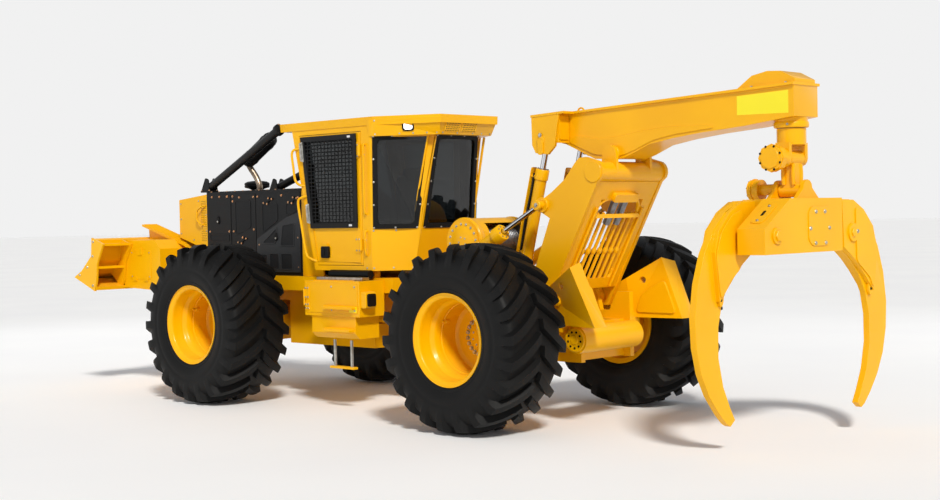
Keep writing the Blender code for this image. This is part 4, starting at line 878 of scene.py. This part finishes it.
# ---- blade ----
softened("blade", ENAMEL, 0.005)
for side, s in SIDES:
    end = on_side(s, 1.365)
    spots = [(s * 1.365, y, z) for y,
             z in ((-6.47, 1.84), (-6.49, 1.66), (-6.62, 1.52), (-6.80, 1.42), (-6.50, 1.29))]
    build(f"blade_end_bolts_{side}", ZINC, "blade", bolts(spots, s * X, 0.024, 0.011))
    hatch = on_side(s, 0.93)
    outline = rounded(rect(-6.30, -5.86, 1.36, 1.72), 0.02)
    build(f"beam_hatch_{side}", ENAMEL, "blade", plate(hatch, outline, 0.0, 0.006),
          plate(hatch, rounded(rect(-6.24, -6.16, 1.335, 1.385), 0.008), 0.0, 0.014),
          plate(hatch, rounded(rect(-6.00, -5.92, 1.335, 1.385), 0.008), 0.0, 0.014),
          plate(hatch, rounded(rect(-6.12, -6.04, 1.66, 1.75), 0.012), 0.006, 0.018), bevel=0.0015)
    build(f"hatch_bolts_{side}", ZINC, "blade",
          bolts([(s * 0.936, y, z) for y,
                 z in ((-6.27, 1.69), (-5.89, 1.69), (-6.27, 1.39), (-5.89, 1.39))], s * X, 0.014, 0.006))
    a, b = np.array([-6.46, 2.040]), np.array([-5.58, 1.795])
    teeth = []
    for t in np.linspace(0.02, 0.98, 30):
        y, z = a + (b - a) * t
        teeth.append(plate(on_side(1, s * 0.52),
                           [(y - 0.010, z - 0.003), (y + 0.010, z - 0.008), (y, z + 0.011)], -0.095, 0.095))
    build(f"arm_teeth_{side}", ENAMEL, "blade", *teeth)
    # painted shade: the arm holes are thin black discs laid on the plate, a dark recess in colour only
    build(f"arm_hole_shade_{side}", SEAL_AND_HOLE_SHADE, "blade",
          disc((s * 0.545, -5.05, 1.16), s * X, 0.052, 0.0012, 0.0003, 28),
          disc((s * 0.545, -5.30, 1.43), s * X, 0.035, 0.0012, 0.0003, 24))
    build(f"blade_pin_cap_{side}", ENAMEL, "blade",
          disc((s * 0.545, -4.72, 1.10), s * X, 0.085, 0.022, 0.005, 32))
    build(f"blade_pin_bolts_{side}", ZINC, "blade",
          bolts(around((s * 0.567, -4.72, 1.10), s * X, 0.055, 4, 0.4), s * X, 0.018, 0.008))
edge_line = [(-6.935, 1.392), (-6.88, 1.368), (-6.79, 1.345), (-6.80, 1.36), (-6.90, 1.408)]
build("cutting_edge", STEEL, "blade", plate(on_side(1, 0), edge_line, -1.335, 1.335))

# ---- winch ----
WINCH_Y, WINCH_Z = -0.95, 1.80   # its drum turns on a line along X
softened("winch_case", ENAMEL, 0.006)
coat("winch_drum", STEEL)
build("winch_cover", ENAMEL, "rear",
      revolve([(0, 0), (0, 0.212), (0.010, 0.220), (0.010, 0.150), (0.018, 0.140), (0.018, 0)],
              (0.405, WINCH_Y, WINCH_Z), X, 64), smooth=40)
build("winch_cover_bolts", ZINC, "rear",
      bolts(around((0.415, WINCH_Y, WINCH_Z), X, 0.186, 16, 0.1), X, 0.020, 0.009),
      bolts(around((0.423, WINCH_Y, WINCH_Z), X, 0.05, 5, 0.1), X, 0.014, 0.006))
build("winch_shell", ENAMEL, "rear",
      revolve([(0.0, 0.2448), (0.02, 0.2535), (0.06, 0.2535), (0.07, 0.2448)], (0.33, WINCH_Y, WINCH_Z), X,
              64),
      revolve([(0.0, 0.2448), (0.02, 0.2535), (0.05, 0.2535), (0.06, 0.2448)], (-0.38, WINCH_Y, WINCH_Z), X,
              64))
drum_rings = [revolve([(0, 0.149), (0.010, 0.156), (0.020, 0.149)], (x, WINCH_Y, WINCH_Z), X,
                      40) for x in np.arange(-0.30, 0.18, 0.0245)]
build("winch_rope_grooves", STEEL, "winch_drum", *drum_rings)

# ---- rear frame and wings ----
softened("rear_frame", ENAMEL, 0.005)
build("drum_disc", ENAMEL, "rear",
      revolve([(0, 0), (0, 0.118), (0.012, 0.118), (0.018, 0.110), (0.018, 0.045), (0.026, 0.040),
               (0.026, 0)], (0.60, 0.70, 0.86), X, 48))
build("drum_disc_bolts", SEAL_AND_HOLE_SHADE, "rear",
      bolts(around((0.618, 0.70, 0.86), X, 0.078, 9, 0.2), X, 0.017, 0.006))
WING_SIDE = ((0.535, 0.24, 1.00), (0.80, 1.10, 1.00), (0.839, 0.843, 1.566), (0.535, 0.24, 1.30))
for side, s in SIDES:
    a, b, c, d = (np.array([s * p[0], *p[1:]]) for p in WING_SIDE)
    out = np.cross(b - a, d - a)
    out *= math.copysign(1, out[0] * s) / np.linalg.norm(out)
    spot = 0.62 * (0.45 * a + 0.55 * d) + 0.38 * (0.4 * b + 0.6 * c)
    build(f"wing_eye_{side}", ENAMEL, "rear",
          revolve([(-0.02, 0.030), (-0.02, 0.050), (0.008, 0.050), (0.010, 0.047), (0.010, 0.030)], spot,
                  out, 32))
    # painted shade: the eye's bore is a thin black disc, dark in colour only
    build(f"wing_hole_shade_{side}", SEAL_AND_HOLE_SHADE, "rear", disc(spot - 0.004 * out, out, 0.030, 0.006, 0.001, 24))
    inner = np.array([[s * 0.545, 0.52, 1.02], [s * 0.60, 1.07, 1.02], [s * 0.628, 0.90, 1.43],
                      [s * 0.560, 0.60, 1.26]])
    face = np.cross(inner[1] - inner[0], inner[3] - inner[0])
    face *= -math.copysign(1, face[0] * s) / np.linalg.norm(face)
    along = inner[1] - inner[0]
    along /= np.linalg.norm(along)
    up = np.cross(face, along)
    flat = [((p - inner[0]).dot(along), (p - inner[0]).dot(up)) for p in inner]
    build(f"wing_panel_{side}", ENAMEL, "rear",
          plate((inner[0], along, up, face), rounded(inset(flat, 0.03), 0.05), -0.02, 0.016), bevel=0.005)

# ---- arch ----
softened("arch", ENAMEL, 0.005)
lean = np.array([0, 0.62, 1.12]) / math.hypot(0.62, 1.12)
ARCH_FOOT = np.array([0, 0.29, 1.26])
for side, s in SIDES:
    hub = (s * 0.52, 0.12, 1.22)
    build(f"arch_pivot_{side}", ENAMEL, "arch",
          revolve([(0, 0.038), (0, 0.095), (0.018, 0.095), (0.023, 0.090), (0.023, 0.038)], hub, s * X, 40))
    pin = (s * 0.52, 0.25, 2.161)
    build(f"arch_eye_{side}", ENAMEL, "arch",
          revolve([(0, 0.0), (0, 0.075), (0.018, 0.075), (0.022, 0.071), (0.022, 0)], pin, s * X, 36))
    end = (s * 0.52, 0.89, 2.465)
    build(f"arch_tube_cap_{side}", ENAMEL, "arch",
          revolve([(0, 0), (0, 0.098), (0.005, 0.102), (0.010, 0.098), (0.010, 0)], end, s * X, 48))
    rail = [ARCH_FOOT + lean * t + s * 0.36 * X + (0, 0.032, -0.018) for t in (0.10, 0.5, 1.0)]
    build(f"window_rail_{side}", ENAMEL, "arch", sweep(rail, 0.016, 12, False))
rollers = []
for x in (-0.075, 0.075):
    rollers.append(revolve([(0, 0), (0, 0.030), (0.006, 0.037), (0.262, 0.037), (0.268, 0.030), (0.268, 0)],
                           ARCH_FOOT + lean * 0.80 + x * X, lean, 36))
build("arch_rollers", STEEL, "arch", *rollers)
bars = []
for k in range(7):
    x = -0.27 + 0.09 * k
    bars.append(sweep([ARCH_FOOT + lean * 0.17 + x * X, ARCH_FOOT + lean * 0.84 + x * X], 0.0175, 16,
                      False))
    bars.append(revolve([(-0.03, 0.0), (-0.03, 0.020), (-0.015, 0.026), (0.015, 0.026), (0.03, 0.020),
                         (0.03, 0.0)], ARCH_FOOT + lean * 0.50 + x * X, lean, 16))
build("arch_bars", ENAMEL, "arch", *bars)
hoops = [[(x, *(ARCH_FOOT + lean * t)[1:]) for x,
          t in ((-0.33, 0.86), (-0.33, 0.98), (-0.27, 1.06), (-0.15, 1.09), (0.15, 1.09), (0.27, 1.06),
                (0.33, 0.98), (0.33, 0.86))],
         [(x, *(ARCH_FOOT + lean * t)[1:]) for x,
          t in ((-0.33, 0.28), (-0.33, 0.20), (-0.25, 0.12), (-0.1, 0.08), (0.1, 0.08), (0.25, 0.12),
                (0.33, 0.20), (0.33, 0.28))]]
build("window_hoops", ENAMEL, "arch", *[sweep(h, 0.022, 12) for h in hoops])
hat = ARCH_FOOT + lean * 1.12
build("roller_hat", ENAMEL, "arch",
      plate((hat + (0, 0.015, -0.01), X, lean, np.cross(X, lean) * -1),
            rounded(rect(-0.19, 0.19, -0.045, 0.045), 0.03), -0.05, 0.05), bevel=0.004)

# ---- boom ----
softened("boom", ENAMEL, 0.005)
for side, s in SIDES:
    web = on_side(s, 0.20)
    swell = [(0.34, 2.775), (0.66, 2.64), (0.98, 2.615), (1.14, 2.66), (1.36, 2.745), (1.62, 2.79),
             (2.05, 2.825), (2.02, 2.85), (1.55, 2.865),
             (1.20, 2.84), (0.95, 2.80), (0.72, 2.79), (0.50, 2.83), (0.36, 2.84)]
    build(f"boom_doubler_{side}", ENAMEL, "boom", plate(web, rounded(swell, 0.05), 0.0, 0.010), bevel=0.004)
    build(f"boom_pin_{side}", ENAMEL, "boom",
          revolve([(0, 0.0), (0, 0.075), (0.020, 0.075), (0.026, 0.069), (0.026, 0.0)],
                  (s * 0.21, 0.90, 2.64), s * X, 36))
    build(f"boom_pin_bolts_{side}", ZINC, "boom",
          bolts([(s * 0.236, 0.90, 2.64), (s * 0.212, 0.80, 2.66)], s * X, 0.030, 0.012))
    keeper = rounded([(0.085, 2.66), (0.155, 2.66), (0.155, 2.80), (0.085, 2.80)], 0.03)
    build(f"rod_keeper_{side}", ENAMEL, "boom", plate(on_side(s, 0.38), keeper, 0.0, 0.014),
          disc((s * 0.38, 0.12, 2.80), s * X, 0.048, 0.010, 0.003, 32), bevel=0.002)
    build(f"rod_keeper_bolt_{side}", ZINC, "boom", bolts([(s * 0.390, 0.12, 2.855)], s * X, 0.032, 0.014))
    build(f"blank_boom_decal_{side}", DECAL, "boom",
          plate(web, [(2.30, 2.925), (2.83, 2.915), (2.83, 3.115), (2.30, 3.095)], 0.0, 0.0008))
    build(f"boom_flange_bolts_{side}", ZINC, "boom",
          bolts([(s * 0.19, y, 3.165 + 0.04 * (y - 2.4)) for y in (2.45, 2.80)], Z, 0.022, 0.010))
eyes = []
for y, z in ((0.43, 3.075), (2.35, 3.160)):
    line = [(0.12, y + 0.040 * math.cos(t), z + 0.040 * math.sin(t)) for t in np.linspace(-0.3,
          math.pi + 0.3, 14)]
    eyes.append(sweep(line, 0.009, 10))
build("lifting_eyes", ENAMEL, "boom", *eyes)
build("boom_head_rib", ENAMEL, "boom",
      plate(on_back(0.335), rounded(rect(-0.35, -0.21, 2.80, 3.04), 0.02), 0.0, 0.01),
      plate(on_back(0.335), rounded(rect(0.21, 0.35, 2.80, 3.04), 0.02), 0.0, 0.01), bevel=0.002)
build("collar_ring", ENAMEL, "boom",
      revolve([(0, 0.140), (0, 0.152), (0.012, 0.156), (0.040, 0.156), (0.050, 0.150), (0.050, 0.140)],
              (0, 2.735, 2.795), Z, 56))
build("collar_bolts", ZINC, "boom", bolts([(0.150, 2.735 + 0.05, 2.82)], (1, 0.3, 0), 0.016, 0.007))


# ---- cylinders ----
def ram(name, base, eye, x, length, barrel_r, rod_r, bodies, flanged):
    """A smooth hydraulic cylinder over a frame pair: turned tube, gland with its ring of bolts, and a
    ground rod with its eye. base and eye are (y, z)."""
    start, end = np.array([x, *base]), np.array([x, *eye])
    line = (end - start) / np.linalg.norm(end - start)
    gland = barrel_r * (1.30 if flanged else 1.16)
    tube_line = [(0.012, 0.0), (0.012, barrel_r * 0.9), (0.03, barrel_r), (length - 0.11, barrel_r),
                 (length - 0.105, gland),
                 (length - 0.008, gland), (length, gland - 0.006), (length, rod_r + 0.008),
                 (length - 0.012, rod_r + 0.008),
                 (length - 0.012, 0.0)]
    foot = revolve([(-0.045, 0.0), (-0.045, barrel_r * 0.92), (0.045, barrel_r * 0.92), (0.045, 0.0)],
                   start, X, 40)
    pin = revolve([(-barrel_r - 0.008, 0), (-barrel_r - 0.008, 0.028), (barrel_r + 0.008, 0.028),
                   (barrel_r + 0.008, 0)], start, X, 24)
    build(name + "_tube", ENAMEL, bodies + "_barrel", revolve(tube_line, start, line, 48), foot, pin,
          smooth=40,
          instead=(bodies + "_barrel",))
    build(name + "_gland_bolts", ZINC, bodies + "_barrel",
          bolts(around(start + line * length, line, (gland + rod_r) / 2 + 0.004, 8, 0.2), line, 0.014,
                0.007))
    total = np.linalg.norm(end - start)
    stem = [(length - 0.20, 0.0), (length - 0.20, rod_r), (total - rod_r, rod_r), (total - rod_r, 0.0)]
    ring = revolve([(-0.04, 0.0), (-0.04, rod_r * 1.55), (0.04, rod_r * 1.55), (0.04, 0.0)], end, X, 36)
    build(name + "_stem", CHROME, bodies + "_rod", revolve(stem, start, line, 40),
          instead=(bodies + "_rod",))
    build(name + "_eye", ENAMEL, bodies + "_rod", ring,
          revolve([(total - rod_r * 2.6, rod_r + 0.002), (total - rod_r * 2.6, rod_r * 1.25),
                   (total - rod_r, rod_r * 1.35), (total - rod_r, rod_r + 0.002)], start, line, 32))
    return start, end, line


for side, s in SIDES:
    ram(f"blade_ram_{side}", (-5.20, 1.95), (-5.45, 1.30), s * 0.25, 0.56, 0.050, 0.026,
        f"blade_cyl_{side}", False)
    start, end, line = ram(f"arch_ram_{side}", (-1.00, 1.50), (0.25, 2.161), s * 0.565, 0.86, 0.066, 0.025,
                           f"arch_cyl_{side}", True)
    build(f"arch_ram_pin_{side}", ENAMEL, f"arch_cyl_{side}_rod",
          revolve([(0.036, 0), (0.036, 0.052), (0.052, 0.052), (0.058, 0.046), (0.058, 0)], end, s * X, 32))
    build(f"arch_ram_bolt_{side}", ZINC, f"arch_cyl_{side}_rod",
          bolts([end + s * 0.058 * X], s * X, 0.032, 0.012))
    start, end, line = ram(f"lift_ram_{side}", (-0.32, 1.15), (0.12, 2.80), s * 0.27, 1.42, 0.060, 0.030,
                           f"lift_cyl_{side}", False)
    ahead = np.cross(line, X)
    ahead *= -math.copysign(1, ahead[1])
    guard_plane = (start + ahead * 0.080, X, line, ahead)
    guard = rounded([(-0.045, 0.35), (0.045, 0.35), (0.045, 1.415), (-0.045, 1.415)], 0.02)
    build(f"hose_guard_{side}", ENAMEL, f"lift_cyl_{side}_barrel", plate(guard_plane, guard, 0.030, 0.038),
          *[plate((start + ahead * 0.056 + line * t, X, ahead, line), rect(-0.028, 0.028, 0.0, 0.058),
                  -0.012, 0.012) for t in (0.55, 0.95, 1.33)], bevel=0.0015)
    for k, dx in enumerate((-0.018, 0.018)):
        path = [start + line * t + ahead * (0.086 + 0.006 * math.sin(9 * t)) + dx * X for t in (0.16, 0.4,
              0.65, 0.9, 1.15, 1.36)]
        build(f"lift_hose_{side}_{k}", HOSE, f"lift_cyl_{side}_barrel", sweep(path, 0.0125, 12))
    for node in (f"steer_{side}_barrel",):
        softened(node, ENAMEL, 0.003)
    coat(f"steer_{side}_rod", CHROME)

# ---- grapple ----
for node in ("rotator", "swing_link", "grapple_head", "tong_left", "tong_right"):
    softened(node, ENAMEL, 0.006)
GRAPPLE_Y = 2.735   # the line that the grapple hangs on
cap = (0.36, GRAPPLE_Y, 2.52)
build("upper_damper_cap", ENAMEL, "rotator", disc(cap, X, 0.098, 0.008, 0.003, 8),
      revolve([(-0.035, 0.112), (-0.035, 0.126), (-0.022, 0.126), (-0.022, 0.112)], cap, X, 8))
build("upper_damper_bolts", SEAL_AND_HOLE_SHADE, "rotator",
      bolts(around((0.360, GRAPPLE_Y, 2.52), X, 0.108, 8, math.pi / 8), X, 0.016, 0.007))
low_cap = (0, GRAPPLE_Y - 0.42, 2.248)
build("lower_damper_cap", ENAMEL, "head", disc(low_cap, -Y, 0.078, 0.008, 0.003, 24),
      revolve([(0.030, 0.090), (0.030, 0.104), (0.045, 0.104), (0.045, 0.090)], low_cap, Y, 24))
build("lower_damper_bolts", SEAL_AND_HOLE_SHADE, "head",
      bolts(around((0, GRAPPLE_Y - 0.42, 2.248), -Y, 0.086, 8, 0.2), -Y, 0.015, 0.006))
build("link_ribs", ENAMEL, "link",
      *[sweep([(x, y, 2.29), (x * 1.15, y, 2.38), (x, y, 2.47)], 0.020, 12) for x in (-0.058,
            0.058) for y in (GRAPPLE_Y - 0.05, GRAPPLE_Y + 0.05)])
back = on_back(GRAPPLE_Y + 0.253)
cover = rounded([(-0.16, 1.745), (0.10, 1.745), (0.165, 1.80), (0.165, 2.03), (0.12, 2.09), (-0.20, 2.09),
                 (-0.20, 1.79)], 0.03)
build("head_cover", ENAMEL, "head", plate(back, cover, 0.0, 0.010), bevel=0.002)
build("head_cover_bolts", ZINC, "head",
      bolts([(x, GRAPPLE_Y + 0.263, z) for x,
             z in ((0.05, 2.045), (-0.10, 2.045), (0.145, 1.90), (-0.175, 1.90), (0.06, 1.77),
                   (-0.11, 1.77))], Y, 0.026, 0.012))
slope = np.array([0.86 - 0.45, 0, 1.91 - 2.165])
slope /= np.linalg.norm(slope)
normal = np.array([-slope[2], 0, slope[0]])
bevel_plane = (np.array([0.45, GRAPPLE_Y + 0.12, 2.165]), slope, Y, normal)
build("bevel_plate", ENAMEL, "head",
      plate(bevel_plane, rounded(rect(0.10, 0.40, -0.065, 0.065), 0.05), 0.0, 0.010), bevel=0.002)
# painted shade: the slot is a thin black plate laid on, not cut
build("bevel_slot_shade", SEAL_AND_HOLE_SHADE, "head",
      plate(bevel_plane, rounded(rect(0.21, 0.29, -0.014, 0.014), 0.014), 0.010, 0.0108))
build("bevel_bolts", ZINC, "head",
      bolts([laid(bevel_plane, [p], 0.010)[0] for p in ((0.135, 0.0), (0.365, 0.0))], normal, 0.022, 0.010))
for side, s in SIDES:
    face_y = GRAPPLE_Y + (0.253 if s > 0 else -0.253)
    spot = np.array([s * 0.676, face_y, 1.847])
    way = Y if s > 0 else -Y
    build(f"tong_pin_{side}", ENAMEL, "head", disc(spot, way, 0.072, 0.018, 0.005, 32),
          disc(spot + way * 0.018, way, 0.050, 0.016, 0.004, 6))
    plane_y = GRAPPLE_Y - s * 0.14
    pin_back = np.array([s * 0.676, plane_y + 0.072, 1.847])
    build(f"tong_boss_{side}", ENAMEL, f"tong_{side}", disc(pin_back, Y, 0.085, 0.020, 0.005, 36),
          disc(pin_back - (0, 0.144, 0), -Y, 0.085, 0.012, 0.005, 36))
    if s < 0:
        build("tong_boss_bolt", ZINC, "tong_right",
              bolts([pin_back + (-0.055, 0.020, 0.01)], Y, 0.030, 0.013))
        build("tong_boss_hex", ENAMEL, "tong_right",
              disc(pin_back + (0.012, 0.020, 0), Y, 0.042, 0.014, 0.004, 6))
    web_line = rounded([(s * 0.74, 1.58), (s * 0.98, 1.42), (s * 1.02, 1.34), (s * 1.06, 1.34),
                        (s * 1.115, 1.70), (s * 1.04, 1.88), (s * 0.88, 2.03), (s * 0.72, 2.08)], 0.05)
    build(f"tong_doubler_{side}", ENAMEL, f"tong_{side}",
          plate(on_back(plane_y + 0.072), web_line, 0.0, 0.012), bevel=0.004)
    lug = rounded([(s * 0.985, 1.40), (s * 1.055, 1.40), (s * 1.045, 1.27), (s * 1.015, 1.25),
                   (s * 0.985, 1.30)], 0.02)
    build(f"tong_lug_{side}", ENAMEL, f"tong_{side}", plate(on_back(plane_y + 0.030), lug, 0.0, 0.03),
          bevel=0.004)
    # painted shade: the lug's hole is a thin black disc laid on, not cut
    build(f"tong_lug_hole_shade_{side}", SEAL_AND_HOLE_SHADE, f"tong_{side}",
          disc((s * 1.025, plane_y + 0.060, 1.315), Y, 0.016, 0.001, 0.0003, 16))


# ---- camera, light and floor ----
camera = bpy.data.objects.new("camera", bpy.data.cameras.new("camera"))
bpy.context.scene.collection.objects.link(camera)
camera.data.lens = 56.45
camera.data.sensor_width = 36.0
YAW, PITCH, ROLL = (math.radians(a) for a in (-136.353, -1.383, -1.211))
ahead = Vector((math.cos(PITCH) * math.cos(YAW), math.cos(PITCH) * math.sin(YAW), math.sin(PITCH)))
level = ahead.cross(Vector((0, 0, 1))).normalized()
upward = level.cross(ahead)
right = math.cos(ROLL) * level + math.sin(ROLL) * upward
top_way = right.cross(ahead)
turn = Matrix((right, top_way, -ahead)).transposed().to_4x4()
camera.matrix_world = Matrix.Translation((11.485, 9.711 + AXLE_SHIFT, 2.084)) @ turn
bpy.context.scene.camera = camera

bpy.ops.mesh.primitive_circle_add(vertices=96, radius=220, fill_type="NGON", location=(0, 0, -0.001))
floor = bpy.context.active_object
floor.name = "floor"
floor.data.materials.append(finish_of("pale_floor", "#FDFDFD", "#F9F9FA", 3.0, 0.01, 0.00001, (0.75, 0.85)))


def lamp(name, place, aim, size, watts, tint="#FFFFFF"):
    """A square soft light that looks from its place to its aim."""
    light = bpy.data.lights.new(name, "AREA")
    light.energy, light.size = watts, size
    light.color = linear(tint)[:3]
    holder = bpy.data.objects.new(name, light)
    bpy.context.scene.collection.objects.link(holder)
    holder.location = place
    holder.rotation_euler = (Vector(aim) - Vector(place)).to_track_quat("-Z", "Y").to_euler()


lamp("left_fill", (14, -6, 6), (0, 0, 1.5), 8, 120)
lamp("front_fill", (-3, -14, 8), (0, 0, 1), 8, 140)
lamp("right_fill", (-13, 4, 7), (0, 0, 1), 8, 140)
key = bpy.data.lights.new("key", "SUN")
key.energy, key.angle = 2.9, math.radians(8)
key.color = linear("#FFFBF4")[:3]
key_holder = bpy.data.objects.new("key", key)
bpy.context.scene.collection.objects.link(key_holder)
key_holder.rotation_euler = Vector((-0.58, -0.80, -0.86)).to_track_quat("-Z", "Y").to_euler()
# a studio with bright walls and a dimmer ceiling
world = bpy.data.worlds.new("studio")
bpy.context.scene.world = world
world.use_nodes = True
tree = world.node_tree
gaze = tree.nodes.new("ShaderNodeTexCoord")
split = tree.nodes.new("ShaderNodeSeparateXYZ")
tree.links.new(gaze.outputs["Generated"], split.inputs[0])
ramp = tree.nodes.new("ShaderNodeValToRGB")
tree.links.new(split.outputs["Z"], ramp.inputs["Fac"])
ramp.color_ramp.elements[0].position, ramp.color_ramp.elements[0].color = 0.17, linear("#F1F1F1")
ramp.color_ramp.elements[1].position, ramp.color_ramp.elements[1].color = 0.30, linear("#8D9197")
tree.links.new(ramp.outputs["Color"], tree.nodes["Background"].inputs["Color"])
tree.nodes["Background"].inputs["Strength"].default_value = 1.0
bpy.context.scene.view_settings.view_transform = "Standard"
